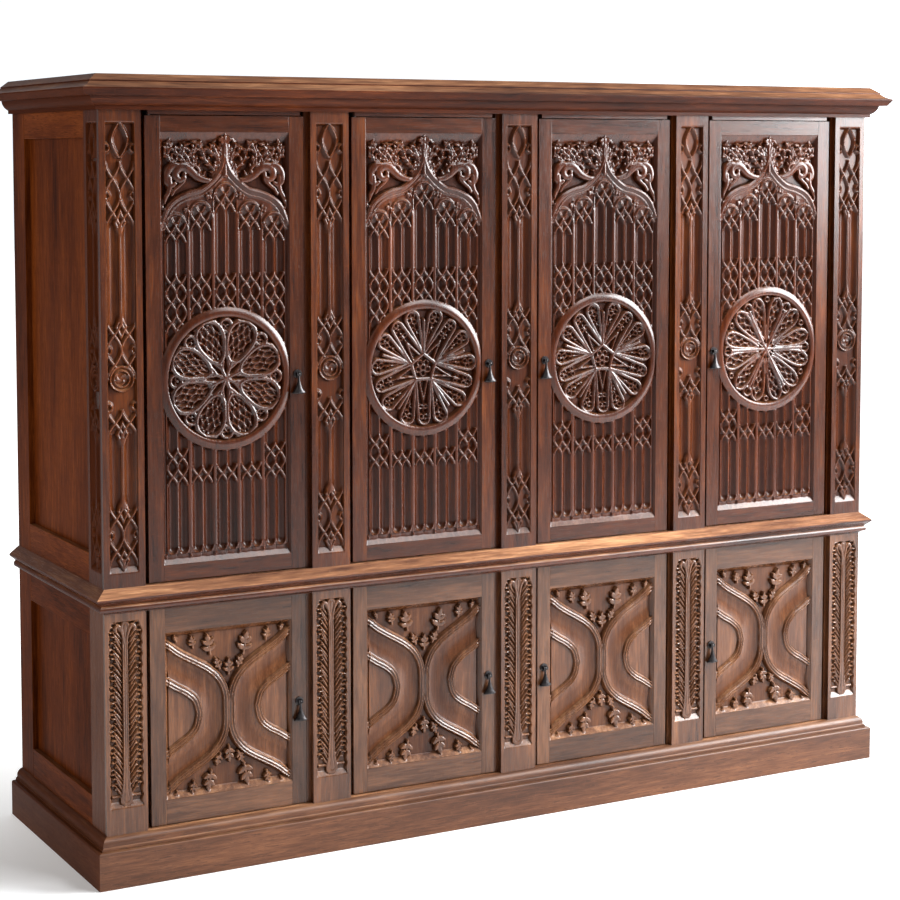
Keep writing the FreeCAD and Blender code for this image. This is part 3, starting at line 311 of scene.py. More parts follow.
def five_spokes(h, r, th):
    # Petals with round heads, two beside each spoke
    a, b = fold(r, th, 5, np.pi / 2)
    head_a, head_b = np.multiply(121, direction(14.5))
    h = lay(h, a, b, [((60, 9), (104, 25), -6.2, 1.0, 1.2), ((35, 0), (119.7, 13.6), -2.6, 3.2),
                      ((35, 0), (107, 44.2), -2.4, 3.3), ((33, 0), (112, 0), -1.8, 3.4)],
            [((head_a + da, head_b + db), 5.6, -5.6, 1.3, 1.1) for da, db in ((-5, 6.5), (-8, -6), (6.5, -1.5))]
            + [((86, 12.5), 4.4, -6.4, 1.0, 1.2), ((90, 26.5), 4.4, -6.4, 1.0, 1.2)])
    beyond = (a - 35) * 0.94 + b * 0.34 > 80
    h = np.where(beyond, loop(h, a, b, (head_a, head_b), 17, -2.4, 3.4), h)
    # Straight-sided compartments between them, each with a dart at its inner end and a round head
    a, b = fold(r, th, 5, np.pi / 2 + np.pi / 5)
    h = lay(h, a, b, [((27, 0), (27, 19.4), -1.4, 3.8), ((26.5, 19.2), (119, 14.2), -1.9, 3.4),
                      ((27, 11.5), (74, 0), -3.0, 2.0), ((74, 0), (104, 0), -5.0, 1.2)],
            [((92, 6.5), 4.6, -6.0, 1.1), ((115, 6), 5.0, -5.6, 1.2), ((125, 0), 5.2, -5.6, 1.2),
             ((13.5, 0), 6.5, -5.4, 1.4)])
    h = np.where(a > 118, loop(h, a, b, (119, 0), 14, -2.2, 2.4), h)
    return loop(h, r, 0 * r, (0, 0), 6, -5.4, 1.3)


def twelve_petals(h, r, th):
    h = petals(h, r, th, 12, np.pi / 12, SLIM_PETAL, 27.0, -2.2, 3.3, 2)
    h = lay(h, *fold(r, th, 6, 0), [((111, 0), (133, 0), -5.8, 1.1), ((0, 0), (111, 0), -1.2, 3.8)],
            [((122, 0), 11.5, -2.4, 2.4)])
    return lay(h, *fold(r, th, 6, np.pi / 6), [((0, 0), (60, 0), -2.6, 2.0)], [((128, 0), 6.0, -4.0, 1.6)])


ROSETTES = {1: eight_petals, 2: five_spokes, 3: five_spokes, 4: twelve_petals}
# Radii of a rosette's field, the top of its rim and its outer edge
FIELD_EDGE, RIM_TOP, DISC_EDGE = 136.5, 147, 161


def rosette(X, Z, door):
    # Dished, with a rim that is narrow and steep within and has a broad rounded slope outside
    r, th = np.hypot(X, Z - RING_HEIGHT), np.arctan2(Z - RING_HEIGHT, X)
    h = ROSETTES[door](np.full(X.shape, -13.0), r, th)
    h = np.maximum(h - 4.2 * unit((132 - r) / 80), -15.5)
    inner = -0.3 - 1.1 * (np.clip(RIM_TOP - r, 0, 7) / 7) ** 2 - 2.8 * np.clip(140 - r, 0, 6)
    outer = -0.3 - 5.0 * (np.clip(r - RIM_TOP, 0, 16) / 14) ** 1.6
    h = raise_to(h, r > FIELD_EDGE, inner)
    return np.where(r > RIM_TOP, outer, h), r


# Sprays of leaves that fan out over the ogee, each by its foot, angle and length
SPRAYS = ((12, 1566, 78, 72), (20, 1558, 58, 92), (46, 1552, 62, 84), (66, 1566, 56, 76), (86, 1578, 48, 70),
          (112, 1584, 44, 46), (6, 1600, 36, 46), (128, 1592, 72, 42), (30, 1560, 108, 70), (78, 1572, 100, 66),
          (118, 1586, 118, 52))
# The body, haunch, legs, horn and tail of the beast on each side: points, height, depth, reach and half widths
BEAST = (
    ([(40, 1550), (54, 1553), (68, 1560), (80, 1571), (93, 1580), (107, 1580), (116, 1571), (116, 1559), (107, 1552),
      (97, 1556)], -0.4, 0.55, 17, [5.2, 7.4, 8.8, 10.2, 11.4, 11.6, 10.2, 8.6, 7.0, 5.4]),
    ([(104, 1580), (118, 1584), (131, 1577), (138, 1563), (137, 1548), (128, 1540), (119, 1544)],
     -0.8, 0.6, 12, [6.0, 8.4, 9.6, 9.2, 8.0, 6.4, 4.6]),
    ([(132, 1556), (131, 1540), (134, 1526), (141, 1514), (146, 1502)], -0.7, 0.7, 9, [7.4, 6.6, 5.8, 5.4, 5.0]),
    ([(96, 1566), (98, 1550), (108, 1540), (120, 1530), (126, 1520)], -1.6, 0.7, 7, [5.2, 4.8, 4.4, 4.2, 3.6]),
    ([(66, 1562), (62, 1573), (69, 1582), (80, 1584)], -1.4, 0.7, 6, [4.0, 3.6, 3.4, 3.0]),
    ([(146, 1504), (149, 1494), (143, 1487), (136, 1492)], -1.2, 0.8, 6, [4.2, 4.0, 3.4, 3.0]),
)


def spandrels(relief):
    for k, (x, z, angle, length) in enumerate(SPRAYS):
        way = [(x, z)]
        for step in range(int(length // 10)):
            c, s = direction(angle + 15 * math.sin(1.1 * step + 1.7 * k))
            way.append((way[-1][0] + 10 * c, way[-1][1] + 10 * s))
        relief.both(smooth(way, 3), ridge(-3.0 - 0.5 * (k % 3), 1.3, 1.1), 6)
        for step, (px, pz) in list(enumerate(way))[1:]:
            turn = angle + (48 if (step + k) % 2 else -48)
            relief.domes(px, pz, turn, 14.5, 3.4, -2.0 - 0.6 * ((step + k) % 3), 2.8, 0.9, 0.75)
    for points, top, depth, reach, widths in BEAST:
        relief.both(smooth(points), roll(top, depth), reach, widths)
    # Its jaws, and a leaf in its curl
    relief.domes(44, 1551, 172, 12, 4.6, -0.6, 1.8, 0.5)
    relief.domes(44, 1548, -150, 9, 3.2, -1.2, 1.8, 0.3)
    relief.domes(107, 1565, 80, 9, 3.4, -2.2, 1.8, 0.6)


def finial(relief):
    relief.stroke([(0, 1562), (0, 1632)], roll(-1.0, 0.9), 6, [6.0, 4.2, 3.4, 3.6])
    for angle, length in ((90, 17), (42, 15), (138, 15), (8, 16), (172, 16), (-28, 13), (208, 13)):
        relief.dome(0, 1638, angle, length, 4.8, -0.2, 2.2, 0.7, 0.75)
    for x, z in ((-12, 1641), (12, 1641), (0, 1640)):
        relief.dome(x, z - 4.5, 90, 9, 4.6, 0.0, 1.8, 0.2)
    for x, z, angle in ((4, 1600, 55), (4, 1612, 35), (5, 1584, 40)):
        relief.domes(x, z, angle, 11, 3.2, -1.6, 2.0, 0.6, 0.8)


def edge_slopes(relief, heights, side_run, low_run, high_run, lip=0.6):
    # The sloping border between the face and the sunk ground
    low, high = heights
    X, Z = relief.X, relief.Z
    share = np.minimum(np.minimum((PANEL_HALF - np.abs(X)) / side_run, (Z - low) / low_run), (high - Z) / high_run)
    return -lip - (-GROUND - lip) * unit(share), share


def steps(ranges):
    # Row or column places from (start, end, step), with no two at the same place
    out = []
    for start, end, step in ranges:
        count = max(int(round((end - start) / step)), 1)
        out.extend(start + (end - start) * np.arange(count) / count)
    out.append(ranges[-1][1])
    return np.array(out)


def ogee_profile(d, width, part):
    # d grows downwards from the upper edge: a sharp ridge, a hollow slope and a low ridge
    hollow = -0.3 - 5.4 * np.sin(np.pi / 2 * unit((d - 1.4) / 9.0))
    h = np.where(d < 1.4, -0.3 - 0.55 * np.abs(d - 1.4), hollow)
    h = raise_to(h, d > 9.0, -3.6 - 1.1 * np.abs(d - 12.4))
    return np.where((d > -5) & (d < 15.5), h, DEEP)


def upper_panel(door):
    low, high = UPPER_PANEL
    xs = steps([(-PANEL_HALF, PANEL_HALF, FINE)])
    zs = steps([(low, 742, FINE), (742, 872, 6.5), (872, 1350, FINE), (1350, 1408, 5.8), (1408, high, FINE)])
    relief = Relief(xs, zs, GROUND)
    X, Z = relief.X, relief.Z
    ogee = np.array(smooth(OGEE, 5))
    under = np.interp(np.abs(X), ogee[::-1, 0], ogee[::-1, 1])
    relief.h = np.where(Z < under - 5, flute_field(X, Z), GROUND)
    spandrels(relief)
    # Small leaves that hang from the ogee
    for x, z in ((38, 1518), (91, 1489)):
        for angle, length in ((-62, 13), (-118, 11), (-20, 10), (120, 8)):
            relief.domes(x, z, angle, length, 3.8, -1.6, 2.0, 0.5)
    slope, share = edge_slopes(relief, UPPER_PANEL, 9.5, 21.5, 22.5)
    relief.h = np.where(share < 1, np.maximum(slope, np.where(share > 0.25, relief.h - 3, DEEP)), relief.h)
    relief.both(np.vstack([ogee, [[2.6, 1612.0], [2.2, 1630.0]]]), ogee_profile, 17, signed=1)
    # Spear points where the bars run out on the sill
    u = np.abs(X / PAIR_PITCH - np.floor(X / PAIR_PITCH) - 0.5) * PAIR_PITCH
    spear = -2.5 - 0.12 * (Z - 712) - u * 1.2
    relief.h = raise_to(relief.h, (Z > 712) & (Z < 724) & (u < 5), np.maximum(spear, slope))
    finial(relief)
    disc, r = rosette(X, Z, door)
    relief.h = np.where(r < DISC_EDGE, disc, relief.h)
    return relief


# Lower door panels

OUTER_RIB = [(-156, 527), (-138, 513), (-122, 500), (-98, 485), (-70, 469), (-44, 452), (-22, 429), (-9.5, 403),
             (-5.8, 379), (-5.6, 354)]
INNER_RIB = [(-156, 442), (-140, 431), (-125, 421), (-100, 406), (-80, 386), (-71, 357)]
LOW_MIDDLE = 354.0
# Sprigs in the upper half: foot, angle and size. The lower half mirrors them
SPRIGS = ((-44, 487, 100, 44), (36, 480, 80, 48), (-86, 507, 100, 26), (92, 507, 80, 26), (-22, 452, 112, 26),
          (22, 452, 68, 26), (-126, 526, 110, 15), (128, 526, 70, 15), (0, 437, 90, 34))
# Lobes of a sprig: place along it, turn and share of its size
LOBES = ((0.24, 62, 0.44), (0.24, -62, 0.44), (0.52, 48, 0.42), (0.52, -48, 0.42), (0.66, 0, 0.46))


def two_halves(points):
    p = np.array(points, float)
    return np.vstack([p, (p * [1, -1] + [0, 2 * LOW_MIDDLE])[::-1][1:]])


def distance_to(relief, curve):
    # How far each point, folded to the left half, is from a curve
    left = -np.abs(relief.X)
    return np.min([off_line(left, relief.Z, start, end)[0] for start, end in zip(curve[:-1], curve[1:])], axis=0)


def rib_profile(d, width, part):
    h = -1.6 - 3.0 * unit(np.abs(d) / 3.0) ** 1.5
    h = np.where(d > 3.0, -4.6 + 1.9 * np.exp(-((d - 5.9) / 1.3) ** 2), h)
    return np.where(d < 7.2, h, -2.8 - 3.4 * (d - 7.0)) * np.where(d < 10.5, 1, 99)


def sprig(relief, x, z, angle, size):
    # A stem with rounded lobes on each side and one at its end
    c, s = direction(angle)
    relief.stroke([(x, z), (x + c * size * 0.72, z + s * size * 0.72)], roll(-3.4, 0.8), 5, [3.0, 2.2])
    for at, turn, share in LOBES:
        relief.dome(x + c * size * at, z + s * size * at, angle + turn, size * share, size * 0.135, -1.8, 2.2, 0.8,
                    0.75)


def lower_panel():
    relief = Relief(steps([(-PANEL_HALF, PANEL_HALF, FINE)]), steps([(*LOWER_PANEL, FINE)]), GROUND)
    outer, inner = [two_halves(smooth(rib, 4)) for rib in (OUTER_RIB, INNER_RIB)]
    left = -np.abs(relief.X)
    up = LOW_MIDDLE + np.abs(relief.Z - LOW_MIDDLE)
    half_outer, half_inner = smooth(OUTER_RIB, 6), smooth(INNER_RIB, 6)
    rise_outer = np.interp(left, half_outer[:, 0], half_outer[:, 1])
    rise_inner = np.interp(left, half_inner[:, 0], half_inner[:, 1], right=LOW_MIDDLE - 200)
    # The band between the ribs is a hollow that rolls up to both of them
    far_outer, far_inner = [distance_to(relief, rib) for rib in (outer, inner)]
    span = far_outer / np.maximum(far_outer + far_inner, 1)
    relief.h = np.where(up < rise_outer, -6.0 - 7.5 * np.sin(np.pi * span ** 0.8), GROUND)
    relief.h = np.where(up < rise_inner, -9.5, relief.h)
    for x, z, angle, size in SPRIGS:
        sprig(relief, x, z, angle, size)
        sprig(relief, x, 2 * LOW_MIDDLE - z, -angle, size)
    relief.both(inner, rib_profile, 11)
    relief.both(outer, rib_profile, 11)
    slope, share = edge_slopes(relief, LOWER_PANEL, 9.5, 13.5, 10.5)
    relief.h = np.where(share < 1, np.maximum(slope, np.where(relief.h > -4.5, relief.h - 1.0, DEEP)), relief.h)
    return relief


# Posts

def post_tracery(X, Z):
    # Loops and crossings above, beside and below two runs of paired flutes
    u = np.abs(X)
    flute = -2.5 - 8.8 * unit(1 - ((u - 16.5) / 13.3) ** 2) ** 0.82
    h = np.where(u < 3.2, -2.0 - 0.5 * u, flute)
    fluted = ((Z > 832) & (Z < 1000)) | ((Z > 1235) & (Z < 1461))
    h = np.where(fluted, h, -9.0)
    for level, length in ((1556, 74), (1482, 74), (1217, 66), (1151, 66), (1024, 60), (813, 71), (742, 71)):
        h = crossings(h, u, Z, level, 16.5, length, -1.6)
    # A pointed oval at the head
    d = np.abs(u - 17.5 * np.sin(np.pi * unit((Z - 1600) / 78))) / 1.15
    h = raised(h, (Z > 1600) & (Z < 1678) & (d < 6), d, -1.6, 1.2, 0.6)
    # Half rings at the sides, and diamonds that close the flutes
    for level in (1622, 1519, 1184, 1060, 777):
        h = raised(h, True, np.abs(np.hypot(u - 33, Z - level) - 9), -2.2, 1.3, 0.5)
    for level, tall in ((1461, 24), (1235, 22), (1000, 24), (832, 24), (722, 20)):
        q = u / 11 + np.abs(Z - level) / tall
        h = raised(h, q < 1.4, np.abs(q - 1) * 8, -1.8, 1.2, 0.5)
    # A small rosette in two rings
    r, th = np.hypot(X, Z - 1121), np.arctan2(Z - 1121, X)
    inside = -7.5 + 2.6 * np.cos(3 * th + r * 0.35) * unit(r / 10)
    ring = np.where(r < 16, inside, np.maximum(-2.0 - 1.3 * np.maximum(np.abs(r - 17.6) - 0.8, 0),
                                               -1.4 - 1.3 * np.maximum(np.abs(r - 27) - 1.0, 0)))
    h = np.where(r < 29, np.maximum(ring, -7.5), h)
    # The mullion stands on the sill
    return raised(h, Z < 724, u, -1.8, 1.0, 1.2)


def shaft_profile(d, width, part):
    return np.where(d < width, -1.6 - 1.1 * np.exp(-((d - width * 0.45) / 0.9) ** 2), -1.6 - 2.6 * (d - width))


def acanthus(relief):
    # A tall plain shaft that spreads at its foot and head, and a strip of close curling leaves on each side
    relief.stroke([(0, 190), (0, 214), (0, 260), (0, 520), (0, 560), (0, 578)], shaft_profile, 14,
                  [15.0, 9.0, 6.4, 5.4, 6.6, 9.0])
    for k in range(31):
        z = 194 + k * 12.2
        angle = 57 + 5 * math.sin(1.7 * k)
        c, s = direction(angle)
        reach = min(39.0, (588 - z) / max(s, 0.1))
        if reach > 14:
            tip = reach - 4
            relief.domes(8, z, angle, reach, 3.3, -1.0, 4.2, 0.0, 0.8)
            relief.domes(8 + c * tip, z + s * tip, angle - 55, 9.5, 2.8, -0.4, 2.6, 0.0)
            relief.domes(8 + c * (tip - 13), z + s * (tip - 13), angle - 50, 9.0, 2.3, -1.2, 2.8, 0.0)
    relief.both(smooth([(3, 540), (7, 562), (14, 577), (22, 575), (21, 566)]), roll(-0.5, 0.9), 6,
                [2.6, 3.4, 4.0, 4.0, 3.2])


def post_grid(carved_half, heights, base):
    # A grid that is fine across the carving and has one step on each side of it
    plain = POST_HALF - carved_half
    xs = [(-POST_HALF, -carved_half, plain), (-carved_half, carved_half, FINE), (carved_half, POST_HALF, plain)]
    return Relief(steps(xs), steps(heights), base)


def upper_post():
    relief = post_grid(37, [(662, 690, 14), (690, 836, FINE), (836, 990, 7.7), (990, 1245, FINE), (1245, 1450, 7.9),
                            (1450, 1684, FINE), (1684, 1725, 14)], 0)
    X, Z = relief.X, relief.Z
    h = post_tracery(X, Z)
    share = np.minimum(np.minimum((33 - np.abs(X)) / 3.0, (Z - 694) / 14), (1678 - Z) / 5)
    slope = -9.0 * unit(share)
    relief.h = np.where(share <= 0, 0, np.where(share < 1, np.maximum(slope, np.where(share > 0.3, h, DEEP)), h))
    return relief


def lower_post():
    relief = post_grid(41, [(112, 160, 12), (160, 596, FINE), (596, 606, 5)], -8.5)
    acanthus(relief)
    X, Z, leaves = relief.X, relief.Z, relief.h
    # The sunk strip has scalloped sides and a rounded head
    outline = 39.5 - 2.8 * np.abs(np.sin(np.pi * (Z - 197) / 24.4)) - 9 * unit((Z - 566) / 21) ** 2
    share = np.minimum(np.minimum((outline - np.abs(X)) / 3.0, (Z - 170) / 14), (587 - Z) / 2.5)
    edge = np.maximum(-8.0 * unit(share), np.where(share > 0.2, leaves, DEEP))
    h = np.where(share <= 0, 0, np.where(share < 1, edge, leaves))
    foot = (np.abs(Z - 196) < 3.5) & (np.abs(X) < 34)
    relief.h = raise_to(h, foot, -2.5 - 0.8 * np.abs(Z - 196))
    return relief


# Meshes

STRAIGHT = ((1, 0), (-1, 0), (0, 1), (0, -1))
SLANTED = ((1, 1), (-1, -1), (1, -1), (-1, 1))


def average_round(h, *rings):
    # The mean of each height and those at the given steps and ways from it
    total, count = h.copy(), 1
    for step, ways in rings:
        for up, along in ways:
            total = total + np.roll(np.roll(h, step * up, 0), step * along, 1)
            count += 1
    return total / count


def wear_wax_and_painted_light(relief):
    # How hollow and how exposed each point is, from heights averaged round it. Hollows are painted darker, partly as
    # dark waxing and partly as painted shade. Crests are painted paler, partly as rubbing and partly as painted
    # highlight.
    h = relief.h
    lift = np.clip((h - average_round(h, (1, STRAIGHT), (2, STRAIGHT), (1, SLANTED))) / 1.6, -1, 1)
    wide = average_round(h, (3, STRAIGHT + SLANTED), (6, STRAIGHT + SLANTED))
    # Painted shade with the waxing: more in hollows that lie below the mean round them, and on the deepest ground
    wax_and_shade = 0.6 * unit((wide - h - 1.8) / 3.6) + 0.55 * unit(-lift) + 0.2 * (h < -12.6)
    return unit(wax_and_shade), unit(lift)


def make_mesh(name, points, faces):
    mesh = bpy.data.meshes.new(name)
    mesh.from_pydata((np.asarray(points, float) / 1000).tolist(), [], faces)
    mesh.update()
    return mesh


def add_object(name, data):
    item = bpy.data.objects.new(name, data)
    scene.collection.objects.link(item)
    return item


def finish_mesh(name, mesh, material, body, attributes, node, angle=40):
    for key, values in attributes.items():
        data = mesh.attributes.new(key, "FLOAT", "POINT")
        values = np.broadcast_to(np.asarray(values, np.float32).ravel(), (len(mesh.vertices),))
        data.data.foreach_set("value", values.copy())
    mesh.materials.append(material)
    mesh.polygons.foreach_set("use_smooth", [True] * len(mesh.polygons))
    mesh.set_sharp_from_angle(angle=math.radians(angle))
    mesh.update()
    piece = add_object(name, mesh)
    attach(piece, body)
    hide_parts(node)
    return piece


def tube(rows):
    # Points and faces from rows of one closed outline each, with a flat cap at each end
    rows = np.asarray(rows, float)
    high, round_ = rows.shape[:2]
    index = np.arange(high * round_).reshape(high, round_)
    after = np.roll(index, -1, axis=1)
    quads = np.stack([index[:-1], after[:-1], after[1:], index[1:]], axis=-1).reshape(-1, 4)
    return rows.reshape(-1, 3), quads.tolist() + [index[0][::-1].tolist(), index[-1].tolist()]


# A drop pull's bell: distance below the eye and half widths across and in depth. Its eye: places along and radii
BELL = [(2.3, 1.9, 1.9), (5, 2.3, 2.1), (9, 2.4, 2.2), (13, 2.7, 2.4), (18, 3.8, 3.0), (23, 5.3, 3.7),
        (28, 7.2, 4.5), (32.5, 9.3, 5.2), (36.5, 11.9, 5.9), (39.5, 14.6, 6.4), (41.5, 16.6, 6.7),
        (42.6, 16.9, 6.8), (43.6, 16.2, 6.4), (44.4, 12.5, 5.0), (44.8, 6.0, 2.6)]
EYE_RADIUS = 3.6
EYE = ((-2.7, 1.66), (-2.7, 3.0), (-2.1, EYE_RADIUS), (2.1, EYE_RADIUS), (2.7, 3.0), (2.7, 1.66))
EYE_TURNS, BELL_TURNS = 24, 28


def drop_piece(name, x, y, z, body, node):
    # A flattened bell below a bored eye, hanging on its pin
    points, faces = tube([[(x + wide * math.cos(a), y + deep * math.sin(a), z - down)
                           for a in np.linspace(0, 2 * math.pi, BELL_TURNS, endpoint=False)]
                          for down, wide, deep in BELL])
    points = points.tolist()
    start, corners = len(points), len(EYE)
    for k in range(EYE_TURNS):
        a = 2 * math.pi * k / EYE_TURNS
        points += [(x + along, y + r * math.cos(a), z + r * math.sin(a)) for along, r in EYE]
        this, following = start + corners * k, start + corners * ((k + 1) % EYE_TURNS)
        for j in range(corners):
            after = (j + 1) % corners
            faces.append((this + j, this + after, following + after, following + j))
    return finish_mesh(name, make_mesh(name, points, faces), IRON, body, {}, node, 50)


def column(x, y, z):
    # One upright column of points
    return np.stack([np.full(len(z), float(x)), np.full(len(z), float(y)), z], axis=-1)[:, None]


def panel_piece(body, relief, middle, seed, tone, material):
    back = DOOR_FACE + 22
    front = np.stack([relief.X + middle, DOOR_FACE - relief.h, relief.Z], axis=-1)
    rows = np.concatenate([front] + [column(middle + relief.x[end], back, relief.z) for end in (-1, 0)], axis=1)
    wax_and_shade, wear_and_highlight = wear_wax_and_painted_light(relief)
    # Deep ground shines less, and so does all but the rosette of a tall panel
    dull_and_orange_tint = 0.5 * unit((-relief.h - 6) / 6)
    if relief.z[-1] > RING_HEIGHT:
        dull_and_orange_tint = np.where(np.hypot(relief.X, relief.Z - RING_HEIGHT) < FIELD_EDGE, dull_and_orange_tint, np.maximum(dull_and_orange_tint, 0.46))
    wax_and_shade, wear_and_highlight, dull_and_orange_tint = [np.pad(values, ((0, 0), (0, 2))) for values in (wax_and_shade, wear_and_highlight, dull_and_orange_tint)]
    name = body + "_carving"
    return finish_mesh(name, make_mesh(name, *tube(rows)), material, body,
                       {"wax_and_shade": wax_and_shade, "dull_and_orange_tint": dull_and_orange_tint, "wear_and_highlight": wear_and_highlight, "seed": seed, "tone": tone},
                       body + "_panel")


def post_piece(kind, relief, index, seed, tone, material, plain_side):
    # The whole section of a post: the carved front, the wings behind the doors, and on a corner the side
    middle = post_middle(index)
    corner = {0: -1, 4: 1}.get(index, 0)
    outside = middle + corner * POST_HALF
    wax_and_shade, wear_and_highlight = wear_wax_and_painted_light(relief)
    blank = np.zeros((len(relief.z), 1))
    side_h, side_wax_and_shade, side_wear_and_highlight = [values[:, 1:] * (not plain_side) for values in (relief.h, wax_and_shade, wear_and_highlight)]

    def flat(x, y):
        return column(x, y, relief.z), blank, blank

    def flank(side, hinged):
        # A rebate strip beside the door, narrower where the door's hinge edge swings, and then the wing
        strip, wing = (53.8, FRONT + 41.5) if hinged else (58.6, FRONT + 37.5)
        points = [(POST_HALF, DOOR_FACE + 3), (strip, DOOR_FACE + 3), (strip, wing), (WING_HALF, wing)]
        return [flat(middle + side * x, y) for x, y in points]

    # Doors 1 and 2 hinge on their left, doors 3 and 4 on their right
    right = flank(1, index in (0, 1)) + [flat(middle + WING_HALF, BEHIND)]
    left = [flat(middle - WING_HALF, BEHIND)] + flank(-1, index in (3, 4))[::-1]
    depths = np.broadcast_to(FRONT + (POST_HALF + relief.x[1:]), side_h.shape)
    side = (np.stack([outside + corner * side_h, depths, relief.Z[:, 1:]], axis=-1), side_wax_and_shade, side_wear_and_highlight)
    inset = [flat(outside - 30 * corner, END_FRONT), flat(outside - 30 * corner, BEHIND)]
    if corner > 0:
        right = [side] + inset
    elif corner < 0:
        left = inset[::-1] + [tuple(values[:, ::-1] for values in side)]
    front = np.stack([relief.X + middle, FRONT - relief.h, relief.Z], axis=-1)
    rows, wax_and_shade, wear_and_highlight = [np.concatenate(group, axis=1) for group in zip((front, wax_and_shade, wear_and_highlight), *right, *left)]
    depth = rows[:, :, 1] - FRONT
    # Deep parts are less polished, and so is the left side of the left corner post, which also takes the left end's
    # painted warm light
    dull_and_orange_tint = np.maximum((rows[:, :, 0] < 9 - HALF_WIDTH) & (depth > 9.5), 0.5 * unit((depth - 5) / 5))
    name = "%s_%d" % (kind, index + 1)
    return finish_mesh(name, make_mesh(name, *tube(rows)), material, "carcass",
                       {"wax_and_shade": wax_and_shade, "wear_and_highlight": wear_and_highlight, "dull_and_orange_tint": dull_and_orange_tint, "seed": seed, "tone": tone},
                       kind + "s")


def boards(name, places, material, body, node, arris=1.3):
    # Planed boards with eased arrises; each place is x, y and z ranges, the grain's axis, a seed and a tone
    verts, faces, attributes = [], [], []
    for x_range, y_range, z_range, axis, seed, tone in places:
        bm = bmesh.new()
        bmesh.ops.create_cube(bm, size=1)
        for v in bm.verts:
            v.co = [ends[c > 0] / 1000 for c, ends in zip(v.co, (x_range, y_range, z_range))]
        bmesh.ops.bevel(bm, geom=list(bm.edges), offset=arris / 1000, segments=2, profile=0.6, affect="EDGES")
        bm.verts.index_update()
        start = len(verts)
        verts += [tuple(v.co * 1000) for v in bm.verts]
        faces += [[start + v.index for v in f.verts] for f in bm.faces]
        attributes += [(axis, seed, tone)] * len(bm.verts)
        bm.free()
    return finish_mesh(name, make_mesh(name, verts, faces), material, body,
                       dict(zip(("grain", "seed", "tone"), zip(*attributes))), node, 14)


# Materials

class Tree:
    # Short ways to add shader nodes to a material or a world

    def __init__(self, owner):
        self.owner = owner
        owner.use_nodes = True
        self.nodes = owner.node_tree.nodes
        self.links = owner.node_tree.links
        self.nodes.clear()

    def add(self, kind, inputs=None, **settings):
        node = self.nodes.new("ShaderNode" + kind)
        for key, value in settings.items():
            setattr(node, key, value)
        for key, value in (inputs or {}).items():
            if isinstance(value, bpy.types.NodeSocket):
                self.links.new(value, node.inputs[key])
            else:
                node.inputs[key].default_value = value
        return node

    def place(self, output="Object"):
        return self.add("TexCoord").outputs[output]

    def split(self, vector):
        return self.add("SeparateXYZ", {0: vector}).outputs

    def join(self, x, y, z):
        return self.add("CombineXYZ", {0: x, 1: y, 2: z}).outputs[0]

    def math(self, operation, a, b=0.0, c=0.0):
        return self.add("Math", {0: a, 1: b, 2: c}, operation=operation).outputs[0]

    def times(self, a, b):
        return self.math("MULTIPLY", a, b)

    def plus(self, a, b):
        return self.math("ADD", a, b)

    def above(self, a, b):
        return self.math("GREATER_THAN", a, b)

    def vector_math(self, operation, a, b):
        return self.add("VectorMath", {0: a, 1: b}, operation=operation).outputs[0]

    def mix(self, factor, a, b):
        return self.add("Mix", {0: factor, 6: a, 7: b}, data_type="RGBA").outputs[2]

    def mix_vector(self, factor, a, b):
        return self.add("Mix", {0: factor, 4: a, 5: b}, data_type="VECTOR").outputs[1]

    def step(self, value, low, high, top=1.0, kind="SMOOTHSTEP"):
        return self.add("MapRange", {"Value": value, "From Min": low, "From Max": high, "To Max": top},
                        interpolation_type=kind).outputs[0]

    def noise(self, vector, scale, detail=3.0, rough=0.55):
        return self.add("TexNoise", {"Vector": vector, "Scale": scale, "Detail": detail,
                                     "Roughness": rough}).outputs["Fac"]

    def ramp(self, factor, stops):
        node = self.add("ValToRGB", {0: factor})
        ramp = node.color_ramp
        while len(ramp.elements) < len(stops):
            ramp.elements.new(0.5)
        for element, (place, colour) in zip(ramp.elements, stops):
            element.position = place
            element.color = (*colour, 1)
        return node.outputs[0]

    def bump(self, strength, distance, height):
        return self.add("Bump", {"Strength": strength, "Distance": distance, "Height": height}).outputs[0]

    def attribute(self, name):
        return self.add("Attribute", attribute_name=name, attribute_type="GEOMETRY").outputs["Fac"]

    def finish(self, kind, inputs, output="OutputMaterial"):
        shader = self.add(kind, inputs)
        self.add(output, {0: shader.outputs[0]})
        return self.owner


# Stains of the oak, each with its dark, middle and light tone, and how much paler in red, green and blue an upward
# slope is painted, partly for fading and partly as painted light from above
RED = (0.011, 0.0019, 0.0006), (0.043, 0.0084, 0.0020), (0.118, 0.027, 0.0064)
WARM = (0.0125, 0.0023, 0.0006), (0.050, 0.0105, 0.0020), (0.135, 0.034, 0.0066)
BROWN = (0.0145, 0.0046, 0.0019), (0.062, 0.0230, 0.0098), (0.155, 0.064, 0.0290)
PALER = (0.0190, 0.0057, 0.0021), (0.080, 0.0275, 0.0103), (0.190, 0.074, 0.0300)
FADED = (0.026, 0.0078, 0.0030), (0.074, 0.025, 0.0096), (0.15, 0.056, 0.0230)
# A brighter orange: painted warm light for the left end, which the lamps leave in shade
LEFT_END_LIT_ORANGE = (0.034, 0.0066, 0.0014), (0.104, 0.022, 0.0040), (0.20, 0.049, 0.0093)
RAW = (0.05, 0.022, 0.011), (0.12, 0.055, 0.026), (0.21, 0.105, 0.052)
STOPS = (0.28, 0.50, 0.74)
TOP_LIGHT_AND_FADING = (3.2, 7.2, 15.0)


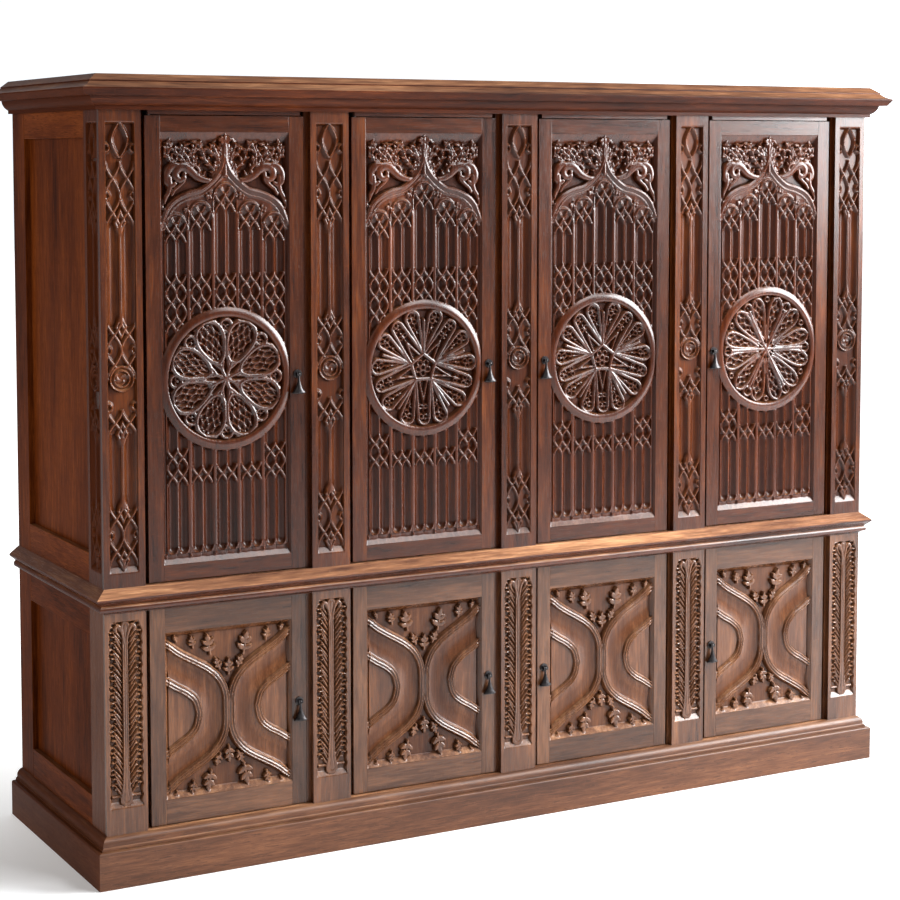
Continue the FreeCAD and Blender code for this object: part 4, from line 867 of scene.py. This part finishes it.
def oak(name, axis, stain, rough, shift=0.0, returns=False, shine=0.5, coat=0.08, top_light_and_fade=0.40, top_light_and_bleach=1.0):
    # Stained and waxed oak with its grain along an axis, or along the one that a piece's grain attribute names.
    # With returns, the grain turns backwards where a moulding runs round the cupboard's ends
    dark, _, light = stain
    t = Tree(bpy.data.materials.new(name))
    x, y, z = t.split(t.place())
    to_x, to_y = float(axis == "x"), 0.0
    if axis == "own":
        to_x, to_y = [t.math("COMPARE", t.attribute("grain"), number, 0.4) for number in (1.0, 2.0)]
    if returns:
        out_side = t.math("SUBTRACT", t.math("ABSOLUTE", x), HALF_WIDTH / 1000)
        out_front = t.math("SUBTRACT", FRONT / 1000, y)
        to_y = t.times(t.above(out_side, out_front), t.above(out_side, -0.035))
    vector = t.mix_vector(to_x, t.join(x, y, z), t.join(y, z, x))
    vector = t.mix_vector(to_y, vector, t.join(x, z, y))
    seed = t.times(t.attribute("seed"), 3.713)
    vector = t.vector_math("ADD", vector, t.join(seed, seed, seed))

    def stretched(a, b, c):
        return t.vector_math("MULTIPLY", vector, (a, b, c))

    # Growth rings that wander, broad bands, fibres, pores in the early wood and short rays
    bend = t.noise(stretched(2.5, 2.5, 1.1), 1.0, 2.0)
    wander = t.join(t.times(bend, 0.055), t.times(bend, 0.03), 0.0)
    rings = t.noise(t.vector_math("ADD", stretched(1, 1, 0.10), wander), 95.0, 3.0, 0.6)
    broad = t.noise(stretched(9, 9, 1.3), 1.0, 3.0)
    fibre = t.noise(stretched(620, 620, 16), 1.0, 2.0, 0.6)
    pores = t.above(t.noise(stretched(820, 820, 34), 1.0, 1.0, 0.5), 0.585)
    early = t.above(rings, 0.50)
    pore = t.times(pores, t.math("MULTIPLY_ADD", early, 0.6, 0.4))
    ray = t.above(t.noise(stretched(60, 60, 240), 1.0, 1.0, 0.4), 0.69)
    value = t.plus(t.times(rings, 0.55), t.math("MULTIPLY_ADD", broad, 0.62, -0.10))
    value = t.plus(value, t.times(t.math("SUBTRACT", fibre, 0.5), 0.34))
    value = t.plus(t.plus(value, t.attribute("tone")), shift)
    colour = t.ramp(value, list(zip(STOPS, stain)))
    colour = t.mix(t.times(pore, 0.55), colour, (*np.multiply(dark, 0.42), 1))
    colour = t.mix(t.times(ray, 0.12), colour, (*light, 1))
    # Hollows are painted darker: partly dark waxing, partly painted shade
    wax_and_shade = t.attribute("wax_and_shade")
    colour = t.mix(t.times(wax_and_shade, 0.84), colour, (*np.multiply(dark, 0.30), 1))
    # Crests are painted paler: partly rubbing, partly painted highlight
    colour = t.mix(t.times(t.attribute("wear_and_highlight"), 0.25), colour, (*np.multiply(light, 1.1), 1))
    # Upward slopes are painted paler: partly faded and worn, partly painted light from above
    up = t.split(t.add("NewGeometry").outputs["Normal"])[2]
    pale = t.ramp(value, list(zip(STOPS, np.multiply(RED, TOP_LIGHT_AND_FADING) * top_light_and_bleach)))
    colour = t.mix(t.step(up, 0.25, 0.75, top_light_and_fade, "LINEAR"), colour, pale)
    patch = t.noise(stretched(14, 14, 9), 1.0, 3.0)
    gloss = t.plus(t.math("MULTIPLY_ADD", patch, 0.08, rough - 0.04), t.times(wax_and_shade, 0.12))
    gloss = t.plus(gloss, t.times(pore, 0.06))
    # Hollows, the left end and the back of the cupboard are hardly polished. Less polished places also take some of
    # the left end's orange; on the left end's returns, this is its painted warm light.
    polish = t.math("MULTIPLY_ADD", wax_and_shade, -0.9 * shine, shine)
    if returns:
        dull_and_orange_tint = t.math("MAXIMUM", t.times(to_y, t.math("LESS_THAN", x, 0.0)), t.above(y, REAR_EDGE / 1000))
    else:
        dull_and_orange_tint = t.attribute("dull_and_orange_tint")
    dull_and_orange_tint = t.times(dull_and_orange_tint, 0.92)
    colour = t.mix(t.times(t.times(dull_and_orange_tint, dull_and_orange_tint), 0.65), colour, (0.080, 0.0165, 0.0032, 1))
    height = t.math("SUBTRACT", t.times(fibre, 0.5), t.times(pore, 0.75))
    height = t.plus(height, t.times(rings, 0.25))
    return t.finish("BsdfPrincipled", {
        "Base Color": colour, "Roughness": gloss, "Normal": t.bump(0.13, 0.0006, height), "Coat Weight": coat,
        "Coat Roughness": 0.16, "IOR": 1.45,
        "Specular IOR Level": t.times(polish, t.math("SUBTRACT", 1.0, dull_and_orange_tint))})


def iron_material():
    t = Tree(bpy.data.materials.new("dark_iron"))
    place = t.place()
    mottle = t.noise(place, 160.0, 4.0, 0.6)
    colour = t.ramp(mottle, [(0.3, (0.012, 0.011, 0.012)), (0.62, (0.045, 0.040, 0.040)), (0.8, (0.08, 0.058, 0.048))])
    return t.finish("BsdfPrincipled", {
        "Base Color": colour, "Roughness": t.math("MULTIPLY_ADD", mottle, 0.2, 0.20),
        "Normal": t.bump(0.35, 0.0004, t.noise(place, 520.0, 3.0)), "Metallic": 0.85})


def floor_material():
    # One pale colour, which glows before the cupboard, and behind it so that it meets the backdrop without a line
    t = Tree(bpy.data.materials.new("pale_floor"))
    x, y, _ = t.split(t.place())
    aside = t.math("SUBTRACT", t.times(t.plus(x, 2.589), 0.957), t.times(t.plus(y, 4.633), 0.29))
    behind = t.times(t.step(y, -0.3, 1.6), t.step(aside, -0.45, -0.03))
    before = t.times(t.step(y, -0.3, -0.8), t.step(y, -3.8, -1.7))
    glow = t.math("MULTIPLY_ADD", before, 0.5, t.math("MULTIPLY_ADD", behind, 0.95, 0.16))
    return t.finish("BsdfPrincipled", {
        "Base Color": (0.84, 0.84, 0.84, 1), "Roughness": 0.7, "Emission Color": (0.9, 0.9, 0.9, 1),
        "Emission Strength": glow})


OAK_CARVED = oak("carved_oak", "z", RED, 0.23, -0.04, shine=0.60)
OAK_POST = oak("post_oak", "z", WARM, 0.25, -0.01, shine=0.33)
OAK_LOW_CARVED = oak("lower_carved_oak", "z", PALER, 0.23, shine=0.44, top_light_and_fade=0.75, top_light_and_bleach=1.15)
OAK_DOOR = oak("door_oak", "own", WARM, 0.24, -0.03, shine=0.32, coat=0.05)
OAK_LOW_DOOR = oak("lower_door_oak", "own", BROWN, 0.24, 0.02, shine=0.36)
OAK_CASE = oak("case_oak_lengthwise", "x", RED, 0.25, 0.02, True, shine=0.42, top_light_and_fade=0.95, top_light_and_bleach=1.7)
# The left end's boards, painted a brighter orange as warm light on that end
OAK_LEFT_END_LIT = oak("end_oak", "own", LEFT_END_LIT_ORANGE, 0.36, shine=0.012, coat=0.0)
OAK_PLINTH = oak("plinth_oak", "x", FADED, 0.38, 0.03, True, shine=0.35, coat=0.0)
OAK_CORNICE = oak("cornice_oak", "x", RED, 0.34, -0.04, True, shine=0.10, coat=0.0, top_light_and_fade=0.8, top_light_and_bleach=1.25)
OAK_TOP = oak("top_oak", "x", RAW, 0.8, shine=0.03, coat=0.0, top_light_and_fade=0.0)
OAK_INSIDE = oak("inner_oak", "z", RAW, 0.55, shine=0.25, coat=0.0, top_light_and_fade=0.0)
OAK_SHELF = oak("shelf_oak", "x", RAW, 0.55, shine=0.25, coat=0.0, top_light_and_fade=0.0)
IRON = iron_material()

by_node = {"partitions": OAK_SHELF, "shelves_and_bearers": OAK_SHELF, "plinth_frame": OAK_PLINTH,
           "plinth_moulding": OAK_PLINTH, "cornice_top_board": OAK_TOP, "cornice_moulding": OAK_CORNICE,
           "lower_back": OAK_INSIDE, "upper_back": OAK_INSIDE}
by_slot = {"iron": IRON, "oak_case": OAK_CASE, "oak_door": OAK_DOOR, "oak_carved": OAK_CARVED,
           "oak_plinth": OAK_PLINTH, "oak_inside": OAK_INSIDE}
for node_name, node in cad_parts.items():
    for material_slot in node.material_slots:
        old = material_slot.material.name.split(".")[0] if material_slot.material else "oak_case"
        material_slot.material = by_node.get(node_name, by_slot.get(old, OAK_CASE))

# Carved pieces

low_relief = lower_panel()
for door, tone, low_tone in zip(DOORS, (0.0, 0.02, -0.01, 0.03), (0.02, -0.02, 0.03, 0.0)):
    panel_piece("upper_door_%d" % door, upper_panel(door), door_middle(door), door * 1.7, tone, OAK_CARVED)
    panel_piece("lower_door_%d" % door, low_relief, door_middle(door), door * 2.3 + 9, low_tone, OAK_LOW_CARVED)

upper_relief, low_relief = upper_post(), lower_post()
for index, tone, low_tone in zip(range(5), (0.0, 0.03, -0.02, 0.02, 0.0), (0.02, 0.0, 0.02, -0.02, 0.03)):
    post_piece("upper_post", upper_relief, index, index * 1.9 + 4, tone, OAK_POST, False)
    post_piece("lower_post", low_relief, index, index * 1.3 + 21, low_tone, OAK_LOW_CARVED, True)

# Door frames as four boards each

DOOR_TONES = ((0.01, -0.02, 0.03, 0.0), (-0.02, 0.03, 0.0, 0.02), (0.02, 0.0, -0.03, 0.03), (0.0, 0.02, 0.01, -0.02))
for door, tones in zip(DOORS, DOOR_TONES):
    middle = door_middle(door)
    depth = (DOOR_FACE, DOOR_BACK)
    left, right = (middle - DOOR_HALF, middle - SIGHT_HALF), (middle + SIGHT_HALF, middle + DOOR_HALF)
    between = (left[1], right[0])
    for tier, low, high, rail, seed, stained in (("upper", 664, 1693, 36, door * 3.1, OAK_DOOR),
                                                 ("lower", 114, 604, 56, door * 3.1 + 17, OAK_LOW_DOOR)):
        places = [(left, depth, (low, high), 0, seed, tones[0]),
                  (right, depth, (low, high), 0, seed + 1.3, tones[1]),
                  (between, depth, (low, low + rail), 1, seed + 2.2, tones[2]),
                  (between, depth, (high - rail, high), 1, seed + 4.7, tones[3])]
        name = "%s_door_%d" % (tier, door)
        boards(name + "_boards", places, stained, name, name + "_frame", 0.6)

# Drop pulls

for door in DOORS:
    for tier in ("lower", "upper"):
        name = "%s_door_%d" % (tier, door)
        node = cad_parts[name + "_pull"]
        corners = np.array([node.matrix_world @ v.co for v in node.data.vertices]) * 1000
        low, high = corners.min(0), corners.max(0)
        drop_piece(name + "_bell", (low[0] + high[0]) / 2, (low[1] + high[1]) / 2, high[2] - EYE_RADIUS,
                   name + "_drop", name + "_pull")

# End frames as boards

STILE, THICK, LAP = 90, 30, 7.5
# The left end takes the painted warm light oak, and the right end takes the door oak
for side, hand, stained in ((-1, "left", OAK_LEFT_END_LIT), (1, "right", OAK_DOOR)):
    for tier, low, high, foot, head, stain, seed in (("lower", 112, 606, 68, 63, -0.05, 36 + side),
                                                     ("upper", 662, 1725, 66, 81, 0.0, 31 + side)):
        outer = sorted((side * HALF_WIDTH, side * (HALF_WIDTH - THICK)))
        sunk = sorted((side * (HALF_WIDTH - 13), side * (HALF_WIDTH - 25)))
        rails = (END_FRONT, END_BACK - STILE)
        places = [(outer, (END_BACK - STILE, END_BACK), (low, high), 0, seed, stain),
                  (outer, rails, (low, low + foot), 2, seed + 2.1, stain + 0.03),
                  (outer, rails, (high - head, high), 2, seed + 3.3, stain + 0.10),
                  (sunk, (rails[0] - LAP, rails[1] + LAP), (low + foot - LAP, high - head + LAP), 0, seed + 5.9,
                   stain + 0.02)]
        name = "%s_end_%s" % (tier, hand)
        boards(name + "_boards", places, stained, "carcass", name)

# Floor, light and camera

FLOOR_HALF = 30000
corners = [(FLOOR_HALF * x, FLOOR_HALF * y, 0) for x, y in ((-1, -1), (1, -1), (1, 1), (-1, 1))]
floor = add_object("floor", make_mesh("floor", corners, [(0, 1, 2, 3)]))
floor.data.materials.append(floor_material())

# A studio with a white backdrop behind the cupboard, soft light overhead and low down, and dim walls in front of it
world = bpy.data.worlds.new("studio")
scene.world = world
t = Tree(world)
x, y, z = t.split(t.place("Generated"))
backdrop = t.step(t.math("MULTIPLY_ADD", x, 0.46, t.times(y, 0.89)), 0.80, 0.92)
overhead = t.step(t.math("MULTIPLY_ADD", y, 0.45, t.times(z, 0.89)), 0.45, 0.95)
overhead = t.math("MAXIMUM", overhead, t.times(t.step(z, 0.24, 0.08), 0.6))
beside_right = t.times(t.step(x, 0.44, 0.64), t.times(t.step(z, 0.55, 0.20), 2.0))
level = t.plus(t.math("MULTIPLY_ADD", overhead, 0.50, 0.03), beside_right)
level = t.math("MAXIMUM", t.times(backdrop, 1.15), level)
t.finish("Background", {"Color": (0.90, 0.95, 1.0, 1), "Strength": level}, "OutputWorld")
scene.view_settings.view_transform = "Standard"


def soft_light(name, place, target, size, power, colour):
    lamp = bpy.data.lights.new(name, "AREA")
    lamp.energy, lamp.size, lamp.color, lamp.shape = power, size, colour, "SQUARE"
    item = add_object(name, lamp)
    item.location = place
    item.rotation_euler = (Vector(target) - Vector(place)).to_track_quat("-Z", "Y").to_euler()


soft_light("right", (4.0, -2.5, 2.6), (-0.1, -0.3, 1.1), 2.7, 830, (0.95, 0.98, 1.0))
soft_light("above", (1.6, -3.3, 4.3), (-0.2, -0.3, 1.0), 1.8, 145, (0.97, 0.98, 1.0))
soft_light("front", (-3.6, -5.2, 4.0), (0, -0.2, 0.8), 3.5, 40, (1.0, 0.93, 0.86))
soft_light("left", (-5.2, 0.9, 2.4), (-1.0, 0, 0.9), 2.2, 60, (1.0, 0.86, 0.72))

camera = bpy.data.cameras.new("camera")
camera.lens, camera.sensor_width, camera.shift_y = 84.76, 36, -0.15
camera.clip_end = 100
camera_item = add_object("camera", camera)
camera_item.location = (-2.5893, -4.6329, 1.6076)
camera_item.rotation_euler = (math.radians(90 - 4.33), 0, math.radians(-28.86))
scene.camera = camera_item
